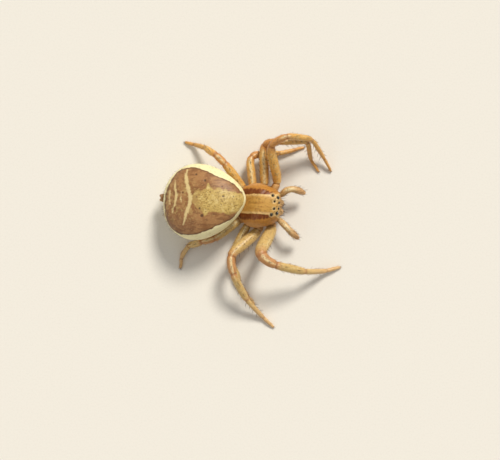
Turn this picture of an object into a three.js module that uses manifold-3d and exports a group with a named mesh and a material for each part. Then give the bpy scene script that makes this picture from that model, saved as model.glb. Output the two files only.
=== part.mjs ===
// Crab spider, adult female, life size, as it sits on the ground with its front legs held forward and out.
// Millimetres. +Z is up, +X is the way that the spider faces and +Y is its left. It stands on the plane z = 0.
import * as THREE from 'three';
import { mergeVertices } from 'three/addons/utils/BufferGeometryUtils.js';
import Module from 'manifold-3d';

const wasm = await Module();
wasm.setup();

// Driving sizes. A leg's segments are parted by thin cuts, as wide as a real joint's bare membrane.
const CUT = 0.05;
const PARTING_HEIGHT = 1.48;
const RAD = Math.PI / 180;

const CARAPACE = {
  length: 3.0,
  halfWidth: 1.5,
  height: 1.2,
  frontHalfWidth: 0.86,
  rearHalfWidth: 0.62,
  yaw: -4 * RAD,
};

const ABDOMEN = {
  front: new THREE.Vector3(-0.86, 0.34, 2.78),
  length: 5.5,
  halfWidth: 2.56,
  topHeight: 1.42,
  bellyDepth: 1.78,
  widestDrop: 0.95,
  roll: -7 * RAD,
  yaw: 1.5 * RAD,
};

// How square the sections are: 2 is an ellipse, and more is boxier.
const TOP_POWER = 2.35;
const BELLY_POWER = 2.05;
const CARAPACE_POWER = 2.5;
const FLANK_SHARE = 0.9;
const FLANK_DEPTH = 0.34;
const FLANK_FRONT = 1.0;
const SIDES = { left: 1, right: -1 };

const STERNUM = { halfLength: 0.95, halfWidth: 0.78, floor: 0.66 };
const PEDICEL = { radius: 0.2, height: 1.72, reach: 0.75 };
const SPINNERET = { length: 0.46, radius: 0.17 };
const CHELICERA = { length: 0.86, radius: 0.27, halfSpacing: 0.3, forward: 1.36 };
const MAXILLA = { radius: 0.15, root: [0.7, 0.34, 0.86], tip: [1.36, 0.79, 1.14] };

// Each eye: how far forward and out on the carapace, its radius, and how far its middle is sunk.
const EYES = {
  front_median: { forward: 1.31, out: 0.2, radius: 0.085 },
  front_lateral: { forward: 1.24, out: 0.54, radius: 0.12 },
  rear_median: { forward: 1.0, out: 0.25, radius: 0.075 },
  rear_lateral: { forward: 0.86, out: 0.66, radius: 0.1 },
};
const EYE_SINK = 0.35;
const MOUND_SHARE = 1.7;
const MOUND_SINK = 1.1;

// Segment lengths and thickest radii, for the two long front pairs and the two short rear pairs.
const LONG_LEG = {
  length: { femur: 3.0, patella: 1.32, tibia: 2.25, metatarsus: 2.0, tarsus: 1.08 },
  radius: {
    coxa: [0.38, 0.35],
    femur: [0.36, 0.43, 0.33],
    patella: [0.31, 0.34, 0.29],
    tibia: [0.28, 0.31, 0.23],
    metatarsus: [0.21, 0.2, 0.165],
    tarsus: [0.16, 0.15, 0.1],
  },
};
const SHORT_LEG = {
  length: { femur: 2.1, patella: 0.85, tibia: 1.3, metatarsus: 1.1, tarsus: 0.7 },
  radius: {
    coxa: [0.33, 0.29],
    femur: [0.29, 0.33, 0.26],
    patella: [0.25, 0.27, 0.24],
    tibia: [0.23, 0.25, 0.2],
    metatarsus: [0.18, 0.17, 0.14],
    tarsus: [0.135, 0.13, 0.09],
  },
};
const SEGMENTS = ['femur', 'patella', 'tibia', 'metatarsus', 'tarsus'];
const RINGS = { femur: 8, patella: 5, tibia: 6, metatarsus: 5, tarsus: 6 };
const LEG_SIDES = 10;

// Each leg's pose: where the coxa leaves the sternum and where it ends, then each segment's heading in the
// plan, in degrees from +X towards +Y, and its pitch above level. reach scales the second pair's lengths.
// section is the shares of the radius kept across the leg and over it, as its flattened form lies.
const LEGS = {
  left_1: {
    build: LONG_LEG,
    section: [0.78, 1],
    coxa: [0.55, 0.48, 1.15, 1.63],
    headings: [103, 25, 0, -52, -60],
    pitches: [36, 29, -39, -44, -25],
  },
  left_2: {
    build: LONG_LEG,
    reach: 0.93,
    section: [0.78, 0.95],
    coxa: [0.2, 0.56, 0.26, 1.46],
    headings: [91, 0, 4, -78, -55],
    pitches: [13, 38, -20, -54, -5],
  },
  left_3: {
    build: SHORT_LEG,
    section: [0.95, 0.95],
    coxa: [-0.18, 0.56, -0.5, 1.31],
    headings: [97, 5, 6, 14, 16],
    pitches: [2, -18, -20, -8, -9],
  },
  left_4: {
    build: SHORT_LEG,
    coxa: [-0.54, 0.46, -1.17, 1.18],
    headings: [128, 137, 140, 159, 164],
    pitches: [23, 8, -45, -40, -15],
  },
  right_1: {
    build: LONG_LEG,
    section: [1, 0.9],
    coxa: [0.55, -0.48, 0.99, -1.38],
    headings: [-116, -28, -11, 4, 16],
    pitches: [43, -11, -27, -44, -15],
  },
  right_2: {
    build: LONG_LEG,
    reach: 0.93,
    section: [0.9, 0.85],
    coxa: [0.2, -0.56, 0.08, -1.65],
    headings: [-138, -80, -62, -46, -43],
    pitches: [23, -1, -26, -30, -6],
  },
  right_3: {
    build: SHORT_LEG,
    section: [0.95, 0.9],
    coxa: [-0.18, -0.56, -0.69, -1.3],
    headings: [-118, -93, -71, -55, -49],
    pitches: [-12, -1, -7, -9, -9],
  },
  right_4: {
    build: SHORT_LEG,
    coxa: [-0.54, -0.46, -1.28, -1.02],
    headings: [-142, -168, -170, -121, -92],
    pitches: [10, 2, -52, -26, -9],
  },
};
const COXA_HEIGHT = 0.95;
const KNEE_BEND = 0.48;
const FIRST_FALLING = 2;
const FOOT_HEIGHT_SHARE = 0.7;

const PALP_RADII = [0.17, 0.22, 0.2, 0.235, 0.12];
const PALP_LENGTHS = [0.6, 0.4, 0.42, 0.62];
const PALP_BEND = 0.2;
const PALPS = {
  left: { headings: [40, 14, -12, -20], pitches: [30, 8, -22, -34] },
  right: { headings: [-46, -48, -44, -38], pitches: [24, 10, -20, -38] },
};

// Colours and finishes.
const finish = (color, roughness) => new THREE.MeshStandardMaterial({ color, roughness, metalness: 0 });
const CREAM_BROWN = finish(0x8f6a48, 0.55);
const TAN = finish(0xb98a4a, 0.45);
const AMBER = finish(0xa8703a, 0.45);
const STRAW = finish(0xd0a468, 0.5);
const PINK_TAN = finish(0xcf9460, 0.5);
const DARK_EYE = finish(0x120c08, 0.1);

/** A closed indexed geometry from a three.js primitive, with every vertex moved by place(vertex). */
function shaped(primitive, place) {
  primitive.deleteAttribute('normal');
  primitive.deleteAttribute('uv');
  const geometry = mergeVertices(primitive);
  const position = geometry.getAttribute('position');
  const vertex = new THREE.Vector3();
  for (let i = 0; i < position.count; i++) {
    const moved = place(vertex.fromBufferAttribute(position, i));
    position.setXYZ(i, moved.x, moved.y, moved.z);
  }
  return geometry;
}

function solidOf(geometry) {
  return new wasm.Manifold(
    new wasm.Mesh({
      numProp: 3,
      vertProperties: geometry.getAttribute('position').array,
      triVerts: new Uint32Array(geometry.index.array),
    }),
  );
}

/** The largest closed surface of a solid, as a geometry. */
function geometryOf(solid) {
  const largest = solid.decompose().sort((a, b) => b.volume() - a.volume())[0];
  const mesh = largest.getMesh();
  const geometry = new THREE.BufferGeometry();
  geometry.setAttribute('position', new THREE.BufferAttribute(mesh.vertProperties, 3));
  geometry.setIndex(new THREE.BufferAttribute(mesh.triVerts, 1));
  return geometry;
}

function joined(geometries) {
  return geometries.map(solidOf).reduce((sum, next) => sum.add(next));
}

/** A smooth value through three marks at the start, the middle and the end of 0 to 1. */
function swell([start, middle, end], t) {
  const side = t < 0.5 ? start : end;
  return THREE.MathUtils.lerp(side, middle, Math.sin(Math.PI * t) ** 0.8);
}

/** The unit direction of a heading in the plan and a pitch above it, both in degrees. */
function direction(heading, pitch) {
  const flat = Math.cos(pitch * RAD);
  return new THREE.Vector3(
    Math.cos(heading * RAD) * flat,
    Math.sin(heading * RAD) * flat,
    Math.sin(pitch * RAD),
  );
}

/** A path through points, straight but for a rounded bend of the given reach at each inner point.
 *  Returns the path and the distance along it of the middle of each bend, with both ends. */
function bentPath(points, reach) {
  const path = new THREE.CurvePath();
  const marks = [0];
  let last = points[0];
  let along = 0;
  for (let i = 1; i < points.length - 1; i++) {
    const before = points[i - 1].distanceTo(points[i]);
    const after = points[i].distanceTo(points[i + 1]);
    const bend = Math.min(reach, 0.45 * before, 0.45 * after);
    const enter = points[i].clone().lerp(points[i - 1], bend / before);
    const leave = points[i].clone().lerp(points[i + 1], bend / after);
    const straight = new THREE.LineCurve3(last, enter);
    const corner = new THREE.QuadraticBezierCurve3(enter, points[i], leave);
    path.add(straight);
    path.add(corner);
    along += straight.getLength();
    marks.push(along + corner.getLength() / 2);
    along += corner.getLength();
    last = leave;
  }
  const tail = new THREE.LineCurve3(last, points[points.length - 1]);
  path.add(tail);
  marks.push(along + tail.getLength());
  return { path, marks };
}

/** A tube along a stretch of a path, from start to end millimetres, flat ended and no lower than the floor.
 *  section is the shares of the radius across the path and over it. */
function tube({ path, start, end, radiusAt, sides, rings, section = [1, 1] }) {
  const whole = path.getLength();
  const up = new THREE.Vector3(0, 0, 1);
  return shaped(new THREE.CylinderGeometry(1, 1, 1, sides, rings), (v) => {
    const even = 0.5 - v.y;
    const t = even - (0.55 * Math.sin(2 * Math.PI * even)) / (2 * Math.PI);
    const share = THREE.MathUtils.clamp((start + t * (end - start)) / whole, 0, 1);
    const middle = path.getPoint(share);
    const ahead = path.getTangent(share);
    const across = new THREE.Vector3().crossVectors(up, ahead).normalize();
    const above = new THREE.Vector3().crossVectors(ahead, across);
    const radius = radiusAt(t);
    middle.addScaledVector(across, v.x * radius * section[0]);
    const placed = middle.addScaledVector(above, v.z * radius * section[1]);
    placed.z = Math.max(placed.z, 0);
    return placed;
  });
}

/** A body form from a sphere whose poles lie along X. place takes the share from the front pole to the
 *  rear one and the turn round the axis, from +Y towards +Z. */
function bodyForm(sides, rings, place) {
  return shaped(new THREE.SphereGeometry(1, sides, rings), (v) => {
    const share = THREE.MathUtils.clamp((1 - v.y) / 2, 0, 1);
    const turn = Math.hypot(v.x, v.z) < 1e-6 ? 0 : Math.atan2(v.x, v.z);
    return place(share, turn);
  });
}

/** cos and sin of a turn, squared up by a power: 2 is round and more is boxier. */
function squared(turn, power) {
  const c = Math.cos(turn);
  const s = Math.sin(turn);
  return [Math.sign(c) * Math.abs(c) ** (2 / power), Math.sign(s) * Math.abs(s) ** (2 / power)];
}

const mostlyBelow = (turn) => -mostlyAbove(-turn);

/** A turn moved so that three quarters of a form's sides lie on its upper half. */
function mostlyAbove(turn) {
  const share = (turn / (2 * Math.PI) + 1) % 1;
  return Math.PI * (share < 0.75 ? share / 0.75 : 1 + (share - 0.75) / 0.25);
}

/** The abdomen's half width, a broad pear in the plan, as a share of the widest. */
const abdomenWidth = (u) => Math.max(0, Math.sin(Math.PI * u ** 1.357)) ** 0.42;
const abdomenTop = (u) => Math.max(0, Math.sin(Math.PI * u ** 0.95)) ** 0.5;
const abdomenBelly = (u) => Math.max(0, Math.sin(Math.PI * u ** 1.05)) ** 0.66;

/** A point of the abdomen's surface, u from its front (0) to its rear (1), turn round its axis. */
function abdomenPoint(u, turn) {
  const { front, length, halfWidth, topHeight, bellyDepth, widestDrop, roll, yaw } = ABDOMEN;
  const upper = Math.sin(turn) > 0;
  const [c, s] = squared(turn, upper ? TOP_POWER : BELLY_POWER);
  const point = new THREE.Vector3(
    -u * length,
    c * halfWidth * abdomenWidth(u),
    s * (upper ? topHeight * abdomenTop(u) : bellyDepth * abdomenBelly(u)) - widestDrop * u,
  );
  point.applyAxisAngle(new THREE.Vector3(1, 0, 0), roll);
  point.applyAxisAngle(new THREE.Vector3(0, 0, 1), yaw);
  return point.add(front);
}

function abdomen() {
  return bodyForm(32, 22, abdomenPoint);
}

/** The abdomen's form grown by the cut, to trim what meets it. */
function abdomenGrown() {
  const middle = abdomenPoint(0.5, 0).add(abdomenPoint(0.5, Math.PI)).multiplyScalar(0.5);
  const grow = 1 + CUT / ABDOMEN.bellyDepth;
  return bodyForm(32, 22, (u, turn) => abdomenPoint(u, turn).sub(middle).multiplyScalar(grow).add(middle));
}

/** The carapace's half width at u, from its front (0) to its rear (1). */
function carapaceWidth(u) {
  const { halfWidth, frontHalfWidth, rearHalfWidth } = CARAPACE;
  const widest = 0.56;
  const end = u < widest ? frontHalfWidth : rearHalfWidth;
  const away = u < widest ? (widest - u) / widest : (u - widest) / (1 - widest);
  const flank = THREE.MathUtils.lerp(halfWidth, end, away ** (u < widest ? 1.7 : 2.2));
  return flank * (1 - Math.max(0, Math.abs(2 * u - 1)) ** 16) ** 0.5;
}

/** The carapace's height at u: a steep clypeus, a level crown and a long slope to the rear. */
function carapaceCrown(u) {
  const brow = THREE.MathUtils.smoothstep(u, -0.02, 0.1);
  const slope = THREE.MathUtils.smoothstep(u, 0.45, 1.04);
  return CARAPACE.height * (0.3 + 0.7 * brow) * (1 - 0.86 * slope);
}

/** A point in the carapace's own axes, set in place. */
function onCarapace(forward, left, z) {
  return new THREE.Vector3(forward, left, z).applyAxisAngle(new THREE.Vector3(0, 0, 1), CARAPACE.yaw);
}

function carapacePoint(u, turn) {
  const [c, s] = squared(turn, CARAPACE_POWER);
  return onCarapace(
    (0.5 - u) * CARAPACE.length,
    c * carapaceWidth(u),
    PARTING_HEIGHT + Math.max(0, s) * carapaceCrown(u),
  );
}

/** An eye's middle, on the carapace's surface but sunk by a share of its radius, and its outward way. */
function eyePlace({ forward, out, radius }, side) {
  const u = 0.5 - forward / CARAPACE.length;
  const c = Math.min(0.97, out / carapaceWidth(u)) ** (CARAPACE_POWER / 2);
  const surface = carapacePoint(u, Math.acos(c));
  const heart = onCarapace(0.55, 0, PARTING_HEIGHT + 0.3);
  const level = onCarapace(forward, side * out, surface.z);
  const outward = level.clone().sub(heart).normalize();
  return { middle: level.addScaledVector(outward, -EYE_SINK * radius), outward, radius };
}

function ball(middle, radius, sides, rings) {
  return shaped(new THREE.SphereGeometry(1, sides, rings), (v) =>
    v.clone().multiplyScalar(radius).add(middle),
  );
}

function eyes() {
  const made = {};
  for (const [name, eye] of Object.entries(EYES)) {
    for (const [side, sign] of Object.entries(SIDES)) {
      made[`eye_${name}_${side}`] = eyePlace(eye, sign);
    }
  }
  return made;
}

/** The carapace: its dome, with the raised mounds of the side eyes and a socket for each eye. */
function carapace() {
  let solid = solidOf(bodyForm(28, 20, (u, turn) => carapacePoint(u, mostlyAbove(turn))));
  const all = Object.entries(eyes());
  for (const [name, { middle, outward, radius }] of all) {
    if (name.includes('lateral')) {
      const heart = middle.clone().addScaledVector(outward, -MOUND_SINK * radius);
      solid = solid.add(solidOf(ball(heart, radius * MOUND_SHARE, 12, 8)));
    }
  }
  for (const [, { middle, radius }] of all) {
    solid = solid.subtract(solidOf(ball(middle, radius + CUT / 2, 8, 6)));
  }
  return geometryOf(solid);
}

/** The joints of a leg, from the sternum's edge to the tip of the tarsus. The pitches of the falling
 *  segments share one small change, which brings the tip down on the floor. */
function legJoints({ build, coxa, headings, pitches, reach = 1 }) {
  const root = [onCarapace(coxa[0], coxa[1], COXA_HEIGHT), onCarapace(coxa[2], coxa[3], COXA_HEIGHT)];
  const withDrop = (drop) => {
    const joints = root.slice();
    SEGMENTS.forEach((name, i) => {
      const pitch = pitches[i] - (i < FIRST_FALLING ? 0 : drop);
      const step = direction(headings[i], pitch).multiplyScalar(build.length[name] * reach);
      joints.push(joints.at(-1).clone().add(step));
    });
    return joints;
  };
  const foot = build.radius.tarsus[2] * FOOT_HEIGHT_SHARE;
  let low = -30;
  let high = 30;
  for (let i = 0; i < 40; i++) {
    const drop = (low + high) / 2;
    if (withDrop(drop).at(-1).z > foot) low = drop;
    else high = drop;
  }
  return withDrop(low);
}

/** A leg as its coxa, which stays with the sternum, and its free segments. */
function leg(pose) {
  const { build, section } = pose;
  const joints = legJoints(pose);
  const { path, marks } = bentPath(joints, KNEE_BEND);
  const [coxaStart, coxaEnd] = build.radius.coxa;
  const coxa = tube({
    path,
    start: 0,
    end: marks[1] - CUT / 2,
    radiusAt: (t) => THREE.MathUtils.lerp(coxaStart, coxaEnd, t),
    sides: LEG_SIDES,
    rings: 4,
    section,
  });
  const free = {};
  SEGMENTS.forEach((name, i) => {
    free[name] = tube({
      path,
      start: marks[i + 1] + CUT / 2,
      end: marks[i + 2] - CUT / 2,
      radiusAt: (t) => swell(build.radius[name], t),
      sides: LEG_SIDES,
      rings: RINGS[name],
      section,
    });
  });
  return { coxa, free };
}

/** The underside of the front body: the sternum's plate, the soft flank, the maxillae and the coxae. */
function sternum(coxae) {
  const top = PARTING_HEIGHT - CUT;
  const plate = bodyForm(16, 10, (u, turn) => {
    const [c, s] = squared(mostlyBelow(turn), 2.6);
    const width = Math.max(0, Math.sin(Math.PI * u ** 0.85)) ** 0.5;
    return onCarapace(
      (1 - 2 * u) * STERNUM.halfLength,
      c * STERNUM.halfWidth * width,
      top + Math.min(0, s) * (top - STERNUM.floor) * width ** 0.6,
    );
  });
  const flank = bodyForm(20, 10, (u, turn) => {
    const [c, s] = squared(mostlyBelow(turn), 2.2);
    return onCarapace(
      THREE.MathUtils.lerp(FLANK_FRONT, -0.5 * CARAPACE.length * FLANK_SHARE, u),
      c * carapaceWidth(u) * FLANK_SHARE,
      top + Math.min(0, s) * FLANK_DEPTH * Math.max(0, Math.sin(Math.PI * u)) ** 0.4,
    );
  });
  const maxillae = Object.keys(SIDES).map((side) => {
    const { path, marks } = palpPath(side);
    return tube({
      path,
      start: 0,
      end: marks[1] - CUT / 2,
      radiusAt: () => MAXILLA.radius,
      sides: 10,
      rings: 2,
    });
  });
  return geometryOf(joined([plate, flank, ...maxillae, ...coxae]));
}

/** The path of a maxilla, the short arm that carries a palp, and of the palp on from its first bend. */
function palpPath(name) {
  const { headings, pitches } = PALPS[name];
  const side = SIDES[name];
  const points = [MAXILLA.root, MAXILLA.tip].map(([forward, out, z]) => onCarapace(forward, side * out, z));
  PALP_LENGTHS.forEach((length, i) => {
    points.push(points.at(-1).clone().addScaledVector(direction(headings[i], pitches[i]), length));
  });
  return bentPath(points, PALP_BEND);
}

function pedicel() {
  const { radius, height, reach } = PEDICEL;
  const rear = onCarapace(-CARAPACE.length / 2 - CUT, 0.02, height);
  const { path, marks } = bentPath([rear, rear.clone().addScaledVector(direction(180, 4), reach)], 0);
  const stalk = tube({
    path,
    start: 0,
    end: marks.at(-1),
    radiusAt: () => radius,
    sides: 12,
    rings: 2,
  });
  return geometryOf(solidOf(stalk).subtract(solidOf(abdomenGrown())));
}

/** The spinnerets: two stout front ones, two slim rear ones and the small mound over them. */
function spinnerets() {
  const { length, radius } = SPINNERET;
  const cone = ([y, z, scale]) => {
    const root = abdomenPoint(0.97, -0.35 * Math.PI).add(new THREE.Vector3(-0.02, y, z));
    return tube({
      path: bentPath([root, root.clone().addScaledVector(direction(180, -28), length * scale)], 0).path,
      start: 0,
      end: length * scale,
      radiusAt: (t) => radius * scale * (1 - 0.55 * t ** 2),
      sides: 10,
      rings: 4,
    });
  };
  const group = joined(
    [
      [-0.14, -0.05, 1],
      [0.14, -0.05, 1],
      [-0.11, 0.13, 0.85],
      [0.11, 0.13, 0.85],
      [0, 0.26, 0.8],
    ].map(cone),
  );
  return geometryOf(group.subtract(solidOf(abdomenGrown())));
}

/** A chelicera: a stout upright jaw with its small curved fang. */
function chelicera(side) {
  const { length, radius, halfSpacing, forward } = CHELICERA;
  const top = PARTING_HEIGHT - CUT;
  const jaw = shaped(new THREE.SphereGeometry(1, 12, 10), (v) => {
    const t = (1 - v.y) / 2;
    const flat = Math.hypot(v.x, v.z);
    const wide = flat < 1e-6 ? 0 : (radius * (1 - 0.3 * t) * flat ** 0.4) / flat;
    return onCarapace(
      forward + 0.1 * t + v.x * wide,
      side * halfSpacing * (1 - 0.08 * t) - v.z * wide,
      top - length * t,
    );
  });
  const knuckle = onCarapace(forward + 0.12, side * (halfSpacing + 0.06), top - length + 0.08);
  const fangPath = bentPath(
    [
      knuckle,
      knuckle.clone().add(onCarapace(0.02, side * -0.04, -0.2)),
      knuckle.clone().add(onCarapace(-0.12, side * -0.14, -0.26)),
    ],
    0.1,
  );
  const fang = tube({
    path: fangPath.path,
    start: 0,
    end: fangPath.marks.at(-1),
    radiusAt: (t) => THREE.MathUtils.lerp(0.075, 0.03, t),
    sides: 8,
    rings: 5,
  });
  return geometryOf(joined([jaw, fang]));
}

function palp(name) {
  const { path, marks } = palpPath(name);
  return tube({
    path,
    start: marks[1] + CUT / 2,
    end: marks.at(-1),
    radiusAt: (t) => {
      const place = t * (PALP_RADII.length - 1);
      const from = Math.min(PALP_RADII.length - 2, Math.floor(place));
      return THREE.MathUtils.lerp(PALP_RADII[from], PALP_RADII[from + 1], place - from);
    },
    sides: 10,
    rings: 14,
  });
}

/** Sets the origin on the floor under the middle of the whole model's box. */
function centred(group) {
  const box = new THREE.Box3().setFromObject(group);
  const middle = box.getCenter(new THREE.Vector3());
  group.position.set(-middle.x, -middle.y, -box.min.z);
  return group;
}

const spider = new THREE.Group();

function place(name, geometry, material) {
  const mesh = new THREE.Mesh(geometry, material);
  mesh.name = name;
  spider.add(mesh);
}

place('abdomen', abdomen(), CREAM_BROWN);
place('carapace', carapace(), TAN);
place('pedicel', pedicel(), AMBER);
place('spinnerets', spinnerets(), STRAW);
for (const [name, { middle, radius }] of Object.entries(eyes())) {
  place(name, ball(middle, radius, 10, 6), DARK_EYE);
}
for (const [side, sign] of Object.entries(SIDES)) {
  place(`chelicera_${side}`, chelicera(sign), STRAW);
  place(`palp_${side}`, palp(side), STRAW);
}
const coxae = [];
for (const [name, pose] of Object.entries(LEGS)) {
  const { coxa, free } = leg(pose);
  coxae.push(coxa);
  for (const [segment, geometry] of Object.entries(free)) {
    place(`leg_${name}_${segment}`, geometry, pose.build === LONG_LEG ? PINK_TAN : STRAW);
  }
}
place('sternum', sternum(coxae), AMBER);

export default centred(spider);
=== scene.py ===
"""The look of an adult female crab spider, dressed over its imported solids.

Every length in the classes is in millimetres, the unit that such an animal is measured in. The pieces are
modelled at that scale and brought down to metres as each one is finished.
"""

import logging
import math
from collections.abc import Iterator
from dataclasses import dataclass, field
from enum import Enum

import bpy
import numpy as np
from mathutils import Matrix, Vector
from mathutils.kdtree import KDTree

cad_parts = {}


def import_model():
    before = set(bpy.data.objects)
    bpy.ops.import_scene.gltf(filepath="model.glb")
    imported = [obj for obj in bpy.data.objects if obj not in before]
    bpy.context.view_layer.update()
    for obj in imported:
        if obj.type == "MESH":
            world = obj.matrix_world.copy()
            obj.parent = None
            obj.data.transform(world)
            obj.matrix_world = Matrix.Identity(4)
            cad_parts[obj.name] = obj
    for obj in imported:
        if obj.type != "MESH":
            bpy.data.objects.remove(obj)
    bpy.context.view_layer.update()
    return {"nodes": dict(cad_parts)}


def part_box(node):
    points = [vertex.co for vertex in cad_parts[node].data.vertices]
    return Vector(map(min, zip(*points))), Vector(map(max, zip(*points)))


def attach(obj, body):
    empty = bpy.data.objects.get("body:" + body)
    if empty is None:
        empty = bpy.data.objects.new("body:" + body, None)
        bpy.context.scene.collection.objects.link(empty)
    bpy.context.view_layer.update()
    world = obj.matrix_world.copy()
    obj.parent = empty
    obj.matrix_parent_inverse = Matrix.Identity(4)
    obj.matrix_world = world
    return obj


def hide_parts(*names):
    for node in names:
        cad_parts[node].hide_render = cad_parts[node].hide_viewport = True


Piece = bpy.types.Object
Socket = bpy.types.NodeSocket

LOG = logging.getLogger("crab_spider")
MM = 0.001
SEGMENTS = ("femur", "patella", "tibia", "metatarsus", "tarsus")
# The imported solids' gap at a joint, and how many points stand for a leg's tip and for a segment's waist.
CUT = 0.05
TIP_POINTS = 11
WAIST_POINTS = 20
# Points closer than this are merged.
WELD = 0.002
# The strips of an unwrap that the limbs' hairs lie in: eight for legs, two for palps and two to spare.
STRIPS = 12


class Side(Enum):
    """The animal's two sides, with the way that each lies along its left axis."""

    LEFT = 1
    RIGHT = -1

    @property
    def word(self) -> str:
        """The side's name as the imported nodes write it."""
        return self.name.lower()


class Seed(Enum):
    """The start of each coat's random draw. The limbs add their own number to it."""

    ABDOMEN = 11
    CARAPACE = 12
    LEG_HAIRS = 40
    LEG_SPINES = 60
    PALP = 80
    JAW = 90


# Small tools for meshes


def deselect_all() -> None:
    """Deselects every object, so that an operator acts on nothing by chance."""
    for thing in bpy.context.selected_objects:
        thing.select_set(False)


def select_only(piece: Piece) -> None:
    """Makes one piece the only selected and active object.

    Args:
        piece: The object to select.
    """
    deselect_all()
    piece.select_set(True)
    bpy.context.view_layer.objects.active = piece


def new_object(name: str, data: bpy.types.ID) -> Piece:
    """Adds an object to the scene.

    Args:
        name: Its name.
        data: Its mesh, curve, light or camera.

    Returns:
        The object.
    """
    made = bpy.data.objects.new(name, data)
    bpy.context.scene.collection.objects.link(made)
    return made


def points_of(piece: Piece) -> np.ndarray:
    """Reads a mesh's points.

    Args:
        piece: A mesh object.

    Returns:
        The points, one row each, in the mesh's own unit.
    """
    found = np.empty(len(piece.data.vertices) * 3, np.float64)
    piece.data.vertices.foreach_get("co", found)
    return found.reshape(-1, 3)


def set_points(piece: Piece, points: np.ndarray) -> None:
    """Moves a mesh's points.

    Args:
        piece: A mesh object.
        points: The new places, one row each.
    """
    piece.data.vertices.foreach_set("co", np.ascontiguousarray(points, np.float64).ravel())
    piece.data.update()


def normals_of(piece: Piece) -> np.ndarray:
    """Reads the normals of a mesh's points.

    Args:
        piece: A mesh object.

    Returns:
        The normals, one row each.
    """
    found = np.empty(len(piece.data.vertices) * 3, np.float32)
    piece.data.vertices.foreach_get("normal", found)
    return found.reshape(-1, 3).astype(np.float64)


def swell(piece: Piece, depth: float | np.ndarray) -> None:
    """Moves a mesh's points out along their normals, or in where the depth is negative."""
    set_points(piece, points_of(piece) + normals_of(piece) * depth)


def keep_above_floor(points: np.ndarray) -> np.ndarray:
    """Lifts points that lie under the floor onto it.

    Args:
        points: The points, one row each.

    Returns:
        The same points, none below zero.
    """
    points[:, 2] = np.maximum(points[:, 2], 0.0)
    return points


def write_attributes(piece: Piece, **marks: np.ndarray | list) -> None:
    """Stores numbers at the points of a mesh, for its material to read.

    Args:
        piece: A mesh object.
        **marks: Under each attribute's name, one number for each point.
    """
    for name, values in marks.items():
        layer = piece.data.attributes.new(name, "FLOAT", "POINT")
        layer.data.foreach_set("value", np.ascontiguousarray(values, np.float32))


def apply_modifier(piece: Piece, kind: str, **settings: object) -> None:
    """Adds a modifier to a piece and applies it at once.

    Args:
        piece: A mesh object.
        kind: The modifier's type.
        **settings: Values for the modifier's own fields.
    """
    select_only(piece)
    made = piece.modifiers.new(kind.lower(), kind)
    for name, value in settings.items():
        setattr(made, name, value)
    bpy.ops.object.modifier_apply(modifier=made.name)


def edit(piece: Piece, *steps: tuple) -> None:
    """Runs edit-mode operators on all of a piece.

    Args:
        piece: A mesh object.
        *steps: Each an operator and its settings.
    """
    select_only(piece)
    bpy.ops.object.mode_set(mode="EDIT")
    bpy.ops.mesh.select_all(action="SELECT")
    for operator, settings in steps:
        operator(**settings)
    bpy.ops.object.mode_set(mode="OBJECT")


def solid_points(node: str) -> np.ndarray:
    """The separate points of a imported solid, in millimetres."""
    loose = points_of(bpy.data.objects[node]) / MM
    return np.unique(np.round(loose, 4), axis=0)


def solid_corners(node: str) -> tuple[np.ndarray, np.ndarray]:
    """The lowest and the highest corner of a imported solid, in millimetres."""
    low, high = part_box(node)
    return np.array(low) / MM, np.array(high) / MM


def copy_of_solid(node: str, name: str) -> Piece:
    """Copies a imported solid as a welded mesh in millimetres.

    Args:
        node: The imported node's name.
        name: The new piece's name.

    Returns:
        The copy, linked to the scene.
    """
    piece = new_object(name, bpy.data.objects[node].data.copy())
    piece.data.materials.clear()
    set_points(piece, points_of(piece) / MM)
    edit(
        piece,
        (bpy.ops.mesh.remove_doubles, {"threshold": WELD}),
        (bpy.ops.mesh.customdata_custom_splitnormals_clear, {}),
    )
    return piece


def rounded_copy(node: str, name: str, grain: float, passes: int) -> Piece:
    """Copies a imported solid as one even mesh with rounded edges.

    Args:
        node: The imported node's name.
        name: The new piece's name.
        grain: The width of the new mesh's faces.
        passes: How many times it is smoothed.

    Returns:
        The copy, in millimetres.
    """
    piece = copy_of_solid(node, name)
    apply_modifier(piece, "REMESH", mode="VOXEL", voxel_size=grain)
    apply_modifier(piece, "SMOOTH", factor=0.5, iterations=passes)
    return piece


def finish_piece(piece: Piece, material: bpy.types.Material, slot: str, *nodes: str) -> Piece:
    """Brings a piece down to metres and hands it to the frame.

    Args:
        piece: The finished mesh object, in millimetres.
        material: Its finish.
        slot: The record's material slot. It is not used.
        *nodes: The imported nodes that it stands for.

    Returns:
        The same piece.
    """
    set_points(piece, points_of(piece) * MM)
    select_only(piece)
    bpy.ops.object.shade_smooth()
    piece.data.materials.clear()
    piece.data.materials.append(material)
    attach(piece, "root")
    if nodes:
        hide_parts(*nodes)
    LOG.info("%s: %d faces", piece.name, len(piece.data.polygons))
    return piece


# Small tools for materials


def linear(code: str) -> tuple[float, float, float, float]:
    """Turns an sRGB hex colour to linear light.

    Args:
        code: Six hex digits after a hash sign.

    Returns:
        Red, green, blue and an alpha of one.
    """
    shares = [int(code[i : i + 2], 16) / 255 for i in (1, 3, 5)]
    light = [s / 12.92 if s <= 0.04045 else ((s + 0.055) / 1.055) ** 2.4 for s in shares]
    return (*light, 1.0)


def add_node(
    tree: bpy.types.NodeTree, kind: str, inputs: dict | None = None, **settings: object
) -> bpy.types.Node:
    """Adds a shader node with its settings, values and links.

    Args:
        tree: The material's node tree.
        kind: The node's type.
        inputs: A value or another node's output for each named or numbered input.
        **settings: Values for the node's own fields.

    Returns:
        The new node.
    """
    made = tree.nodes.new(kind)
    for name, value in settings.items():
        setattr(made, name, value)
    for key, value in (inputs or {}).items():
        if isinstance(value, Socket):
            tree.links.new(value, made.inputs[key])
        else:
            made.inputs[key].default_value = value
    return made


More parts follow.
